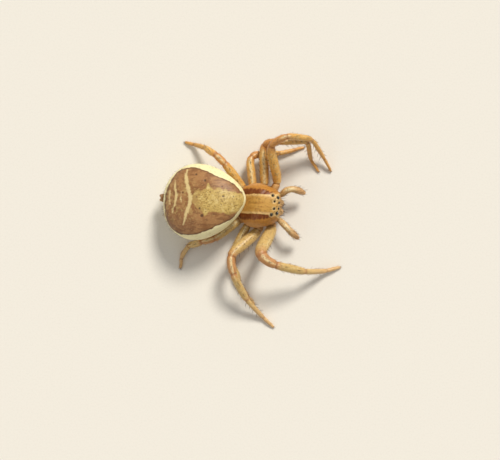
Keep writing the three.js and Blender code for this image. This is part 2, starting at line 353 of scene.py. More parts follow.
@dataclass
class Paint:
    """A material being mixed: its tree, its surface shader and the colour so far."""

    name: str
    base: str
    roughness: float
    material: bpy.types.Material = field(init=False)
    tree: bpy.types.NodeTree = field(init=False)
    shader: bpy.types.Node = field(init=False)
    place: Socket = field(init=False)
    colour: Socket = field(init=False)
    height: Socket | None = field(init=False, default=None)

    def __post_init__(self) -> None:
        """Makes the material with its surface shader and its base colour."""
        self.material = bpy.data.materials.new(self.name)
        self.material.use_nodes = True
        self.tree = self.material.node_tree
        self.shader = self.tree.nodes["Principled BSDF"]
        self.shader.inputs["Roughness"].default_value = self.roughness
        self.place = add_node(self.tree, "ShaderNodeTexCoord").outputs["Object"]
        self.colour = add_node(self.tree, "ShaderNodeRGB").outputs[0]
        self.colour.default_value = linear(self.base)

    def attribute(self, name: str) -> Socket:
        """The value of a mesh attribute."""
        return add_node(self.tree, "ShaderNodeAttribute", attribute_name=name).outputs["Fac"]

    def sum(self, *terms: tuple) -> Socket:
        """Adds values, each times its own factor.

        Args:
            *terms: Pairs of a value and its factor.

        Returns:
            The sum.
        """
        total = 0.0
        for value, factor in terms:
            inputs = {0: value, 1: factor, 2: total}
            total = add_node(self.tree, "ShaderNodeMath", inputs, operation="MULTIPLY_ADD").outputs[0]
        return total

    def noise(self, grain: float, detail: float = 3.0, stretch: tuple = (1, 1, 1)) -> Socket:
        """Even noise round zero, from about -0.5 to 0.5.

        Args:
            grain: The size of its larger lumps, in millimetres.
            detail: How many finer layers it has.
            stretch: The share of its frequency kept along each axis.

        Returns:
            The noise.
        """
        turned = add_node(self.tree, "ShaderNodeMapping", {"Vector": self.place, "Scale": stretch})
        inputs = {"Vector": turned.outputs[0], "Scale": 1 / (grain * MM), "Detail": detail}
        made = add_node(self.tree, "ShaderNodeTexNoise", inputs)
        return self.sum((made.outputs["Fac"], 1.0), (-0.5, 1.0))

    def ramp(self, value: object, low: float, high: float) -> Socket:
        """A share that eases from 0 at low to 1 at high.

        Args:
            value: What is measured.
            low: The value that gives 0.
            high: The value that gives 1. It may be less than low.

        Returns:
            The share.
        """
        limits = {"Value": value, "From Min": low, "From Max": high, "To Min": 0.0, "To Max": 1.0}
        return add_node(self.tree, "ShaderNodeMapRange", limits, interpolation_type="SMOOTHSTEP").outputs[0]

    def times(self, *factors: object) -> Socket:
        """Multiplies values.

        Args:
            *factors: The values.

        Returns:
            Their product.
        """
        product = factors[0]
        for factor in factors[1:]:
            inputs = {0: product, 1: factor}
            product = add_node(self.tree, "ShaderNodeMath", inputs, operation="MULTIPLY").outputs[0]
        return product

    def lay(self, code: str, *shares: object) -> None:
        """Lays a colour over the colour so far.

        Args:
            code: The colour's sRGB hex value.
            *shares: Shares from 0 to 1. Their product is how much of the colour shows.
        """
        inputs = {0: self.times(*shares), 6: self.colour, 7: linear(code)}
        self.colour = add_node(self.tree, "ShaderNodeMix", inputs, data_type="RGBA").outputs[2]

    def raise_by(self, value: object, height: float) -> None:
        """Adds relief to the surface's fine shape.

        Args:
            value: The share of the height at each place.
            height: The height of the relief, in millimetres.
        """
        known = [(self.height, 1.0)] if self.height is not None else []
        self.height = self.sum(*known, (value, height * MM))

    def finish(self) -> bpy.types.Material:
        """Joins the colour and the relief to the shader.

        Returns:
            The material.
        """
        self.tree.links.new(self.colour, self.shader.inputs["Base Color"])
        if self.height is not None:
            inputs = {"Height": self.height, "Distance": 1.0, "Strength": 1.0}
            bump = add_node(self.tree, "ShaderNodeBump", inputs)
            self.tree.links.new(bump.outputs["Normal"], self.shader.inputs["Normal"])
        return self.material


# Finishes


@dataclass(frozen=True)
class AbdomenSkin:
    """Soft, thin, finely wrinkled skin, satin where it is stretched, with a leaf-shaped marking."""

    cream: str = "#F2E7B4"
    belly: str = "#B39462"
    belly_mottle: str = "#7A5632"
    lung_cover: str = "#DDBE7E"
    leaf: str = "#906136"
    leaf_light: str = "#A7794A"
    leaf_streak: str = "#7A502C"
    leaf_fleck: str = "#BC965E"
    leaf_edge: str = "#573417"
    patch_ground: str = "#B28F52"
    patch: str = "#C4A65C"
    patch_streak: str = "#A58748"
    patch_fleck: str = "#7A5C2E"
    patch_glow: str = "#E0CB8C"
    tail_blotch: str = "#B8985C"
    bar: str = "#E0C98E"
    dot: str = "#452A12"
    roughness: float = 0.48

    def build(self) -> bpy.types.Material:
        """Makes the material.

        Returns:
            The finished material.
        """
        paint = Paint("abdomen skin", self.cream, self.roughness)
        ragged = paint.noise(0.26, 5.0)
        fine = paint.noise(0.085, 4.0)
        broad = paint.noise(0.8, 3.0)
        lengthwise = paint.noise(0.2, 4.0, (0.3, 1, 1))
        self.colour_belly(paint, broad, fine)
        on_leaf = self.colour_leaf(paint, ragged, fine, broad, lengthwise)
        self.colour_patch(paint, on_leaf, ragged, fine, lengthwise)
        bars = paint.sum((paint.attribute("bars"), 1.0), (ragged, 0.2), (fine, 0.16))
        paint.lay(self.bar, paint.ramp(bars, -0.05, 0.05), 0.92)
        dots = paint.sum((paint.attribute("dots"), 1.0), (fine, 0.05))
        paint.lay(self.dot, paint.ramp(dots, -0.015, 0.03), 0.8)
        paint.raise_by(paint.noise(0.05, 2.0), 0.007)
        paint.raise_by(lengthwise, 0.016)
        return paint.finish()

    def colour_belly(self, paint: Paint, broad: Socket, fine: Socket) -> None:
        """Darkens the underside, mottles it and picks out the lung covers.

        Args:
            paint: The material being mixed.
            broad: Broad noise.
            fine: Fine noise.
        """
        below = paint.attribute("below")
        depth = paint.sum((below, 1.0), (broad, 0.9), (fine, 0.5))
        paint.lay(self.belly, paint.ramp(depth, 0.45, 1.3))
        paint.lay(self.belly_mottle, paint.ramp(fine, 0.14, 0.24), paint.ramp(below, 0.2, 0.8))
        lungs = paint.sum((paint.attribute("lungs"), 1.0), (fine, 0.1))
        paint.lay(self.lung_cover, paint.ramp(lungs, 0.0, 0.08), 0.8)

    def colour_leaf(
        self, paint: Paint, ragged: Socket, fine: Socket, broad: Socket, lengthwise: Socket
    ) -> Socket:
        """Lays the brown leaf marking, lighter in clouds, streaked, flecked and darker at its edge.

        Args:
            paint: The material being mixed.
            ragged: Ragged noise.
            fine: Fine noise.
            broad: Broad noise.
            lengthwise: Noise drawn out along the body.

        Returns:
            Where the marking lies.
        """
        inside = paint.sum((paint.attribute("leaf"), 1.0), (ragged, 0.17), (fine, 0.07))
        on_leaf = paint.ramp(inside, -0.015, 0.025)
        paint.lay(self.leaf, on_leaf)
        paint.lay(self.leaf_light, on_leaf, paint.ramp(broad, -0.1, 0.1))
        paint.lay(self.leaf_streak, on_leaf, paint.ramp(lengthwise, 0.0, 0.12), 0.65)
        paint.lay(self.leaf_fleck, on_leaf, paint.ramp(fine, 0.07, 0.17), 0.55)
        paint.lay(self.leaf_edge, on_leaf, paint.ramp(inside, 0.12, 0.02), 0.8)
        return on_leaf

    def colour_patch(
        self, paint: Paint, on_leaf: Socket, ragged: Socket, fine: Socket, lengthwise: Socket
    ) -> None:
        """Lays the cream patch, which breaks up in flecks and fades to tan at its rear.

        Args:
            paint: The material being mixed.
            on_leaf: Where the leaf marking lies.
            ragged: Ragged noise.
            fine: Fine noise.
            lengthwise: Noise drawn out along the body.
        """
        along = paint.attribute("along")
        patch = paint.sum((paint.attribute("patch"), 1.0), (ragged, 0.5), (fine, 0.42))
        on_patch = paint.times(paint.ramp(patch, -0.05, 0.09), on_leaf)
        kept = paint.ramp(paint.sum((along, 1.0), (ragged, 0.4), (fine, 0.3)), 0.66, 0.45)
        paint.lay(self.patch_ground, on_patch, 0.75)
        paint.lay(self.patch, on_patch, kept)
        streaks = paint.ramp(paint.sum((lengthwise, 1.0), (fine, 0.6)), -0.03, 0.14)
        paint.lay(self.patch_streak, on_patch, streaks, 0.6)
        flecks = paint.ramp(paint.sum((fine, 1.0), (ragged, 0.5)), 0.07, 0.16)
        paint.lay(self.patch_fleck, on_patch, flecks, 0.65)
        glow = paint.ramp(paint.sum((fine, -0.6), (ragged, -1.0)), 0.0, 0.2)
        paint.lay(self.patch_glow, on_patch, glow, kept, 0.65)
        tail = paint.times(paint.ramp(along, 0.5, 0.62), paint.ramp(paint.attribute("middle"), 1.6, 0.8))
        blotches = paint.ramp(paint.sum((ragged, 1.0), (fine, 0.7)), 0.0, 0.13)
        paint.lay(self.tail_blotch, blotches, tail, on_leaf, 0.7)


@dataclass(frozen=True)
class CarapaceShell:
    """Hard chitin with a satin surface and a fine grain, straw down the middle and dark at the sides."""

    band: str = "#C8994D"
    band_streak: str = "#B27C38"
    band_edge: str = "#E0BC7E"
    flank: str = "#BF8338"
    dark: str = "#6B2F0A"
    dark_spoke: str = "#8E5426"
    rim: str = "#D2A066"
    face: str = "#D0A564"
    face_blot: str = "#9C6630"
    speck: str = "#8C5A2A"
    eye_mound: str = "#DFC790"
    eye_ring: str = "#4A2814"
    roughness: float = 0.42
    specular: float = 0.35

    def build(self) -> bpy.types.Material:
        """Makes the material.

        Returns:
            The finished material.
        """
        paint = Paint("carapace shell", self.band, self.roughness)
        forward = paint.attribute("forward")
        fine = paint.noise(0.07, 3.0)
        streak = paint.noise(0.16, 4.0, (0.14, 1, 1))
        edge = paint.sum((paint.attribute("outside"), 1.0), (streak, 0.12), (fine, 0.06))
        self.colour_sides(paint, forward, edge, streak)
        paint.lay(self.face, paint.ramp(forward, 0.85, 1.15), paint.ramp(edge, 0.25, -0.1), 0.3)
        blots = paint.ramp(paint.noise(0.24, 4.0), 0.0, 0.12)
        paint.lay(self.face_blot, blots, paint.ramp(forward, 1.2, 1.4), 0.7)
        paint.lay(self.speck, paint.ramp(paint.sum((fine, 1.0), (streak, 0.5)), 0.1, 0.18), 0.6)
        from_eyes = paint.sum((paint.attribute("eyes"), 1.0), (fine, 0.1))
        paint.lay(self.eye_mound, paint.ramp(from_eyes, 0.13, 0.05), 0.5)
        paint.lay(self.eye_ring, paint.ramp(from_eyes, 0.012, 0.0), 0.8)
        paint.raise_by(paint.noise(0.045, 2.0), 0.005)
        paint.raise_by(streak, 0.01)
        paint.shader.inputs["Specular IOR Level"].default_value = self.specular
        return paint.finish()

    def colour_sides(self, paint: Paint, forward: Socket, edge: Socket, streak: Socket) -> None:
        """Lays the pale lines beside the band, and the dark bands and amber flanks outside them.

        Args:
            paint: The material being mixed.
            forward: How far forward each place lies.
            edge: How far outside the band it lies.
            streak: Noise drawn out along the body.
        """
        spokes = paint.noise(0.09, 3.0, (1, 0.3, 0.3))
        paint.lay(self.band_streak, paint.ramp(streak, -0.02, 0.22), 0.75)
        paint.lay(self.band_edge, paint.ramp(edge, -0.2, -0.07), 0.85)
        paint.lay(self.flank, paint.ramp(edge, -0.015, 0.02))
        ending = paint.ramp(paint.sum((forward, 1.0), (streak, 0.5)), 0.95, 0.6)
        reach = paint.sum((edge, 1.0), (paint.ramp(forward, -0.2, 1.2), 0.24), (spokes, 0.35))
        inner = paint.times(paint.ramp(edge, -0.01, 0.02), paint.ramp(reach, 0.43, 0.31))
        paint.lay(self.dark, inner, ending, 0.94)
        paint.lay(self.dark_spoke, inner, paint.ramp(spokes, -0.02, 0.13), 0.7)
        paint.lay(self.rim, paint.ramp(edge, 0.48, 0.8), 0.8)


@dataclass(frozen=True)
class LegShell:
    """Thin chitin, half clear over straw-coloured flesh: satin, speckled and redder at the joints."""

    name: str
    base: str
    shade: str
    joint: str
    end: str
    cream: str = "#E4D09A"
    line: str = "#EFE0AE"
    speck: str = "#6B4423"
    cloud: str = "#94693A"
    membrane: str = "#8A4A22"
    roughness: float = 0.4

    def build(self) -> bpy.types.Material:
        """Makes the material.

        Returns:
            The finished material.
        """
        paint = Paint(self.name, self.base, self.roughness)
        top, tip = paint.attribute("top"), paint.attribute("tip")
        fine = paint.noise(0.055, 3.0)
        blot = paint.noise(0.17, 4.0)
        dust = paint.noise(0.1, 2.0)
        # Painted shade: the underside of each segment is laid darker, broken up by blotches.
        paint.lay(self.shade, paint.ramp(paint.sum((top, -0.6), (blot, 0.9)), -0.1, 0.7), 0.75)
        paint.lay(self.cream, paint.ramp(paint.sum((blot, 1.0), (fine, 0.5)), 0.0, 0.14), 0.5)
        paint.lay(self.joint, paint.attribute("knee"), 0.75)
        paint.lay(self.end, paint.ramp(tip, 0.5, 0.85), 0.6)
        line = paint.ramp(paint.sum((top, 1.0), (fine, 0.3)), 0.87, 0.98)
        paint.lay(self.line, line, paint.ramp(tip, 0.66, 0.5), 0.75)
        grains = paint.ramp(paint.sum((fine, 1.0), (blot, 0.25)), 0.1, 0.17)
        paint.lay(self.speck, grains, paint.ramp(tip, 1.2, 0.3), 0.75)
        clouds = paint.ramp(paint.sum((dust, 1.0), (fine, 0.4), (top, 0.06)), 0.09, 0.2)
        paint.lay(self.cloud, clouds, paint.ramp(tip, 0.95, 0.2), 0.55)
        paint.lay(self.membrane, paint.attribute("membrane"), 0.5)
        paint.raise_by(paint.noise(0.04, 2.0), 0.005)
        return paint.finish()


@dataclass(frozen=True)
class UndersideShell:
    """The smoother shell of the sternum, the coxae, the mouthparts and the small parts of the body."""

    name: str = "underside shell"
    base: str = "#C08A4C"
    light: str = "#D8AE70"
    speck: str = "#7A4A22"
    roughness: float = 0.42

    def build(self) -> bpy.types.Material:
        """Makes the material.

        Returns:
            The finished material.
        """
        paint = Paint(self.name, self.base, self.roughness)
        fine = paint.noise(0.08, 3.0)
        broad = paint.noise(0.5, 2.0)
        paint.lay(self.light, paint.ramp(broad, -0.05, 0.2), 0.7)
        paint.lay(self.speck, paint.ramp(fine, 0.12, 0.22), 0.7)
        paint.raise_by(paint.noise(0.05, 2.0), 0.005)
        return paint.finish()


@dataclass(frozen=True)
class JawShell:
    """Brown, polished chitin, paler at its root and nearly black on the fang."""

    base: str = "#B27A44"
    blot: str = "#7E4A24"
    root: str = "#D9B47C"
    fang: str = "#2C130A"
    roughness: float = 0.32

    def build(self) -> bpy.types.Material:
        """Makes the material.

        Returns:
            The finished material.
        """
        paint = Paint("jaw shell", self.base, self.roughness)
        down = paint.attribute("down")
        fine = paint.noise(0.07, 3.0)
        blot = paint.noise(0.22, 3.0)
        paint.lay(self.blot, paint.ramp(paint.sum((blot, 1.0), (fine, 0.4)), -0.04, 0.1), 0.8)
        paint.lay(self.root, paint.ramp(paint.sum((down, 1.0), (blot, 0.4)), 0.32, 0.08), 0.75)
        paint.lay(self.fang, paint.ramp(paint.sum((down, 1.0), (fine, 0.1)), 0.82, 0.9))
        paint.raise_by(fine, 0.006)
        return paint.finish()


@dataclass(frozen=True)
class PlainShell:
    """One even finish with a faint grain: bristles, hairs, lenses and the floor."""

    name: str
    base: str
    shade: str
    roughness: float
    coat: float = 0.0

    def build(self) -> bpy.types.Material:
        """Makes the material.

        Returns:
            The finished material.
        """
        paint = Paint(self.name, self.base, self.roughness)
        paint.lay(self.shade, paint.ramp(paint.noise(0.12), -0.1, 0.25), 0.6)
        paint.shader.inputs["Coat Weight"].default_value = self.coat
        return paint.finish()


# The left legs' shell is a warmer, yellower copy of the right legs' shell. The extra warmth is painted light:
# yellow light thrown on the left legs by a flower that the scene does not hold.
LEFT_LEG_FLOWER_LIT = LegShell("left leg shell", base="#E3AF59", shade="#C79342", joint="#CC8849", end="#D2954F")
RIGHT_LEG = LegShell("right leg shell", base="#CFAE6C", shade="#A88048", joint="#BF7E4C", end="#E2B684")
PALP_SHELL = LegShell("palp shell", base="#D6B078", shade="#B98A50", joint="#C99560", end="#C99560")
PEDICEL_SKIN = UndersideShell("pedicel skin", "#C9975A")
SPINNERET_SKIN = UndersideShell("spinneret skin", "#A07446")
BRISTLE = PlainShell("bristle chitin", "#4A2E18", "#8A6238", 0.45)
PALE_HAIR = PlainShell("pale hair", "#B98F5C", "#DDC08A", 0.5)
BROWN_HAIR = PlainShell("brown hair", "#70502E", "#9A7648", 0.5)
LENS = PlainShell("eye lens", "#0D0806", "#2A160C", 0.06, 1.0)
FLOOR_PAPER = PlainShell("floor paper", "#E9E6DF", "#E4E1DA", 0.9)


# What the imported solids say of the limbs


@dataclass
class Segment:
    """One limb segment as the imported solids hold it: where it starts and ends, its middle and its radii."""

    node: str
    start: np.ndarray
    middle: np.ndarray
    end: np.ndarray
    start_way: np.ndarray
    end_way: np.ndarray
    radii: tuple[float, float, float]
    flatness: float

    @property
    def length(self) -> float:
        """The length from joint to joint."""
        return float(np.linalg.norm(self.middle - self.start) + np.linalg.norm(self.end - self.middle))

    def at(self, share: float) -> tuple[np.ndarray, np.ndarray, float]:
        """A place on the segment's middle line.

        Args:
            share: The share of the way from the start to the end.

        Returns:
            The point, the way ahead there and the radius.
        """
        through = self.end - self.start
        through = through / np.linalg.norm(through)
        if share < 0.5:
            first, last, way_in, way_out, t = self.start, self.middle, self.start_way, through, share * 2
        else:
            first, last, way_in, way_out, t = self.middle, self.end, through, self.end_way, share * 2 - 1
        reach = np.linalg.norm(last - first)
        point = (
            (2 * t**3 - 3 * t**2 + 1) * first
            + (t**3 - 2 * t**2 + t) * reach * way_in
            + (3 * t**2 - 2 * t**3) * last
            + (t**3 - t**2) * reach * way_out
        )
        ahead = (
            (6 * t**2 - 6 * t) * (first - last)
            + (3 * t**2 - 4 * t + 1) * reach * way_in
            + (3 * t**2 - 2 * t) * reach * way_out
        )
        end_radius = self.radii[0] if share < 0.5 else self.radii[2]
        fullness = math.sin(math.pi * share) ** 0.8 if 0 < share < 1 else 0.0
        radius = end_radius + (self.radii[1] - end_radius) * fullness
        return point, ahead / np.linalg.norm(ahead), radius


def frame_of(way: np.ndarray) -> tuple[np.ndarray, np.ndarray]:
    """The level way across a limb and the way over it.

    Args:
        way: The way that the limb runs, of unit length.

    Returns:
        Both ways, of unit length.
    """
    across = np.cross((0.0, 0.0, 1.0), way)
    across = across / np.linalg.norm(across)
    return across, np.cross(way, across)


def end_face(node: str, neighbour: str) -> tuple[np.ndarray, np.ndarray, float]:
    """The end face of a solid that meets its neighbour across a thin cut.

    Args:
        node: The solid that has the face.
        neighbour: The solid that it meets.

    Returns:
        The face's middle, its outward normal and its radius.
    """
    own, other = solid_points(node), solid_points(neighbour)
    gaps = np.linalg.norm(own[:, None] - other[None], axis=2).min(axis=1)
    face = own[gaps < CUT * 1.8]
    middle = face.mean(axis=0)
    normal = np.linalg.svd(face - middle)[2][2]
    if normal @ (middle - own.mean(axis=0)) < 0:
        normal = -normal
    return middle, normal, float(np.abs((face - middle) @ frame_of(normal)[0]).max())


def tip_face(node: str, start: np.ndarray) -> tuple[np.ndarray, np.ndarray, float]:
    """The free end of a limb's last solid.

    Args:
        node: The last solid.
        start: Where that solid starts.

    Returns:
        The end's middle, the way that it points and its radius.
    """
    own = solid_points(node)
    far = own[np.argmax(np.linalg.norm(own - start, axis=1))]
    way = (far - start) / np.linalg.norm(far - start)
    ranked = own[np.argsort((own - start) @ way)]
    last = ranked[-TIP_POINTS:]
    middle = last.mean(axis=0)
    before = ranked[-2 * TIP_POINTS : -TIP_POINTS].mean(axis=0)
    way = (middle - before) / np.linalg.norm(middle - before)
    return middle, way, float(np.abs((last - middle) @ frame_of(way)[0]).max())


def read_segment(node: str, before: str, after: str | None) -> Segment:
    """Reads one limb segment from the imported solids.

    Args:
        node: The segment's node.
        before: The node that it hangs from.
        after: The node beyond it, or None at the tip.

    Returns:
        The segment.
    """
    start, inward, start_radius = end_face(node, before)
    end, outward, end_radius = end_face(node, after) if after else tip_face(node, start)
    own = solid_points(node)
    through = end - start
    shares = (own - start) @ through / (through @ through)
    waist = own[np.argsort(np.abs(shares - 0.5))[:WAIST_POINTS]]
    middle = waist.mean(axis=0)
    across, above = frame_of(through / np.linalg.norm(through))
    wide = float(np.ptp((waist - middle) @ across) / 2)
    deep = float(np.ptp((waist - middle) @ above) / 2)
    return Segment(node, start, middle, end, -inward, outward, (start_radius, wide, end_radius), deep / wide)


@dataclass(frozen=True)
class Station:
    """A place along a limb: its point, the way ahead, the radius, the segment and the share along it."""

    point: np.ndarray
    way: np.ndarray
    radius: float
    segment: int
    share: float


@dataclass
class Limb:
    """A leg: its segments in order, and one smooth skin over them all, drawn in at each joint."""

    name: str
    parts: list[Segment]
    groove: float = 0.09
    groove_width: float = 0.04
    collar: float = 0.02
    collar_place: float = 0.1
    collar_width: float = 0.06
    membrane_width: float = 0.05
    sides: int = 8

    # How deep the skin starts inside the coxa, and the share of the femur's radius there.
    ROOT = ((0.2, 0.55), (0.14, 0.8), (0.08, 0.88))
    # The share of the solid's radius that each segment keeps at its start and its end.
    SLIM = ((1.0, 1.0), (1.0, 0.98), (1.0, 0.98), (0.98, 0.94), (0.94, 0.8))
    # The shares of a segment at which the skin has a ring, closer together at the joints.
    STOPS = (0.0, 0.012, 0.03, 0.055, 0.09, 0.15, 0.24, 0.36, 0.5, 0.64, 0.76, 0.85, 0.91, 0.945, 0.97, 0.988)

    def stations(self) -> list[Station]:
        """Places along the limb, from inside the coxa to the tip.

        Returns:
            The places in order.
        """
        first = self.parts[0]
        made = [
            Station(first.start - first.start_way * depth, first.start_way, first.radii[0] * share, 0, 0.0)
            for depth, share in self.ROOT
        ]
        for number, part in enumerate(self.parts):
            last = number == len(self.parts) - 1
            for share in (*self.STOPS, 1.0) if last else self.STOPS:
                point, way, radius = part.at(share)
                made.append(Station(point, way, radius * self.pinch(number, share), number, share))
        return made

    def pinch(self, number: int, share: float) -> float:
        """How far a joint draws the skin in.

        Args:
            number: The segment's number.
            share: The share of the segment's length.

        Returns:
            A factor for the radius.
        """
        gap = min(share, 1 - share if number < len(self.parts) - 1 else 1.0) * self.parts[number].length
        groove = math.exp(-((gap / self.groove_width) ** 2))
        collar = math.exp(-(((gap - self.collar_place) / self.collar_width) ** 2))
        start, end = self.SLIM[number]
        return (start + (end - start) * share) * (1 - self.groove * groove + self.collar * collar)

    def skin(self) -> Piece:
        """Models the skin as a bevelled path, turned to a mesh.

        Returns:
            The skin, in millimetres, with the attributes that its finish reads.
        """
        stations = self.stations()
        path = bpy.data.curves.new(self.name, "CURVE")
        path.dimensions = "3D"
        path.twist_mode = "Z_UP"
        path.bevel_depth = 1.0
        path.bevel_resolution = self.sides // 2
        path.use_fill_caps = True
        line = path.splines.new("POLY")
        line.points.add(len(stations) - 1)
        for spot, station in zip(line.points, stations):
            spot.co = (*station.point, 1.0)
            spot.radius = station.radius
        select_only(new_object(self.name, path))
        bpy.ops.object.convert(target="MESH")
        piece = bpy.context.view_layer.objects.active
        edit(
            piece,
            (bpy.ops.mesh.remove_doubles, {"threshold": WELD}),
            (bpy.ops.mesh.normals_make_consistent, {"inside": False}),
        )
        self.flatten(piece, stations)
        self.mark(piece, stations)
        apply_modifier(piece, "SUBSURF", levels=2, render_levels=2)
        set_points(piece, keep_above_floor(points_of(piece)))
        return piece

    @staticmethod
    def nearest(points: np.ndarray, stations: list[Station]) -> Iterator[Station]:
        """Finds the nearest place on the limb for each point of its skin.

        Args:
            points: The points, one row each.
            stations: The places along the limb.

        Yields:
            The nearest place, point by point.
        """
        tree = KDTree(len(stations))
        for number, station in enumerate(stations):
            tree.insert(station.point, number)
        tree.balance()
        for point in points:
            yield stations[tree.find(point)[1]]

    def flatten(self, piece: Piece, stations: list[Station]) -> None:
        """Gives each segment the flattened section that its solid has.

        Args:
            piece: The skin, in millimetres.
            stations: The places along the limb.
        """
        points = points_of(piece)
        for number, station in enumerate(self.nearest(points.copy(), stations)):
            above = frame_of(station.way)[1]
            lift = (points[number] - station.point) @ above
            points[number] += above * lift * (self.parts[station.segment].flatness - 1)
        set_points(piece, points)

    def mark(self, piece: Piece, stations: list[Station]) -> None:
        """Writes where each point lies on the limb.

        Args:
            piece: The skin, in millimetres.
            stations: The places along the limb.
        """
        marks = {"top": [], "knee": [], "tip": [], "membrane": []}
        points = points_of(piece)
        for point, station in zip(points, self.nearest(points, stations)):
            off = point - station.point
            gap = min(station.share, 1 - station.share) * self.parts[station.segment].length
            marks["top"].append(off[2] / max(float(np.linalg.norm(off)), 1e-6))
            marks["knee"].append(self.knee_share(station.segment, station.share))
            marks["tip"].append((station.segment + station.share) / len(self.parts))
            marks["membrane"].append(math.exp(-((gap / self.membrane_width) ** 2)))
        write_attributes(piece, **marks)

    @staticmethod
    def knee_share(number: int, share: float) -> float:
        """How red the shell is: most on the patella, less at the ends of the segments beside it.

        Args:
            number: The segment's number.
            share: The share of its length.

        Returns:
            A share from 0 to 1.
        """
        femur, patella, tibia = 0, 1, 2
        if number == femur:
            return max(0.0, (share - 0.8) / 0.2)
        if number == tibia:
            return min(1.0, max(0.0, (0.18 - share) / 0.18, (share - 0.86) / 0.2))
        return 1.0 if number == patella else 0.0


# Bristles


@dataclass(frozen=True)
class Hair:
    """One kind of hair: its length, its radius at the root, and how strongly it leans, 0 for upright."""

    length: float
    radius: float
    slant: float


@dataclass
class Bristles:
    """Tapered hairs joined in one mesh, each rooted in the skin and curving the way that it leans."""

    name: str
    seed: int
    rings: tuple = (0.0, 0.35, 0.7)
    sides: int = 3
    roots: list = field(init=False, default_factory=list)
    draw: np.random.Generator = field(init=False)

    def __post_init__(self) -> None:
        """Starts the hairs' own random draw."""
        self.draw = np.random.default_rng(self.seed)

    def plant(
        self, point: np.ndarray, normal: np.ndarray, lean: np.ndarray, hair: Hair, unwrap: tuple[float, float]
    ) -> None:
        """Adds one hair.

        Args:
            point: Its root on the skin.
            normal: The skin's normal there.
            lean: The way that it leans.
            hair: The kind of hair.
            unwrap: Its place on an unwrap of the skin, each from 0 to 1.
        """
        jitter = self.draw.normal(0, 0.12, 3)
        way = normal + lean * hair.slant + jitter
        way = way / np.linalg.norm(way)
        bend = lean * 0.25 + self.draw.normal(0, 0.06, 3)
        length = hair.length * (1 + self.draw.uniform(-0.25, 0.25))
        self.roots.append((point - normal * hair.radius * 1.5, way, bend, length, hair.radius, unwrap))

    def build(self, material: bpy.types.Material, slot: str) -> Piece:
        """Makes the joined mesh.

        Args:
            material: The hairs' finish.
            slot: The record's material slot.

        Returns:
            The piece.
        """
        points, faces, places = [], [], []
        turns = [2 * math.pi * k / self.sides for k in range(self.sides)]
        for point, way, bend, length, radius, unwrap in self.roots:
            across = np.cross(way, (0.31, 0.17, 0.94))
            across = across / np.linalg.norm(across)
            above = np.cross(way, across)
            faces += self.faces_from(len(points))
            for share in self.rings:
                centre = point + way * length * share + bend * length * share**2
                thick = radius * (1 - 0.75 * share)
                for turn in turns:
                    points.append(centre + thick * (across * math.cos(turn) + above * math.sin(turn)))
                    places.append(self.patch(unwrap, share, turn))
            points.append(point + way * length + bend * length)
            places.append(self.patch(unwrap, 1.0, 0.0))
        mesh = bpy.data.meshes.new(self.name)
        mesh.from_pydata(keep_above_floor(np.array(points)).tolist(), [], faces)
        self.write_unwrap(mesh, places)
        return finish_piece(new_object(self.name, mesh), material, slot)

    def faces_from(self, first: int) -> list[tuple]:
        """The faces of one hair whose points start at a number.

        Args:
            first: The number of the hair's first point.

        Returns:
            The faces, root first.
        """
        count, rows = self.sides, len(self.rings)
        made = [tuple(first + k for k in reversed(range(count)))]
        for row in range(rows - 1):
            low = first + row * count
            for k in range(count):
                made.append((low + k, low + (k + 1) % count, low + count + (k + 1) % count, low + count + k))
        last = first + (rows - 1) * count
        tip = first + rows * count
        made += [(last + k, last + (k + 1) % count, tip) for k in range(count)]
        return made

    @staticmethod
    def patch(unwrap: tuple[float, float], share: float, turn: float) -> tuple[float, float]:
        """A point's place in the hair's own small patch of the unwrap."""
        reach = 0.0015 * (1 - 0.8 * share)
        return unwrap[0] + reach * math.cos(turn), unwrap[1] + reach * math.sin(turn)

    @staticmethod
    def write_unwrap(mesh: bpy.types.Mesh, places: list[tuple]) -> None:
        """Stores the hairs' unwrap in a layer named OFBake.

        Args:
            mesh: The hairs' mesh.
            places: The unwrapped place of each point.
        """
        layer = mesh.uv_layers.new(name="OFBake")
        corners = np.empty(len(mesh.loops), np.int32)
        mesh.loops.foreach_get("vertex_index", corners)
        layer.data.foreach_set("uv", np.array(places, np.float32)[corners].ravel())


# The animal's parts


@dataclass(frozen=True)
class AbdomenPlaces:
    """Where points lie on the abdomen, one number each.

    share is the share of the length from the front, out how far left of the middle line, half the half width
    there, and below how far under the widest line, as a share of half the depth. length is the whole length.
    """

    share: np.ndarray
    out: np.ndarray
    half: np.ndarray
    below: np.ndarray
    length: float


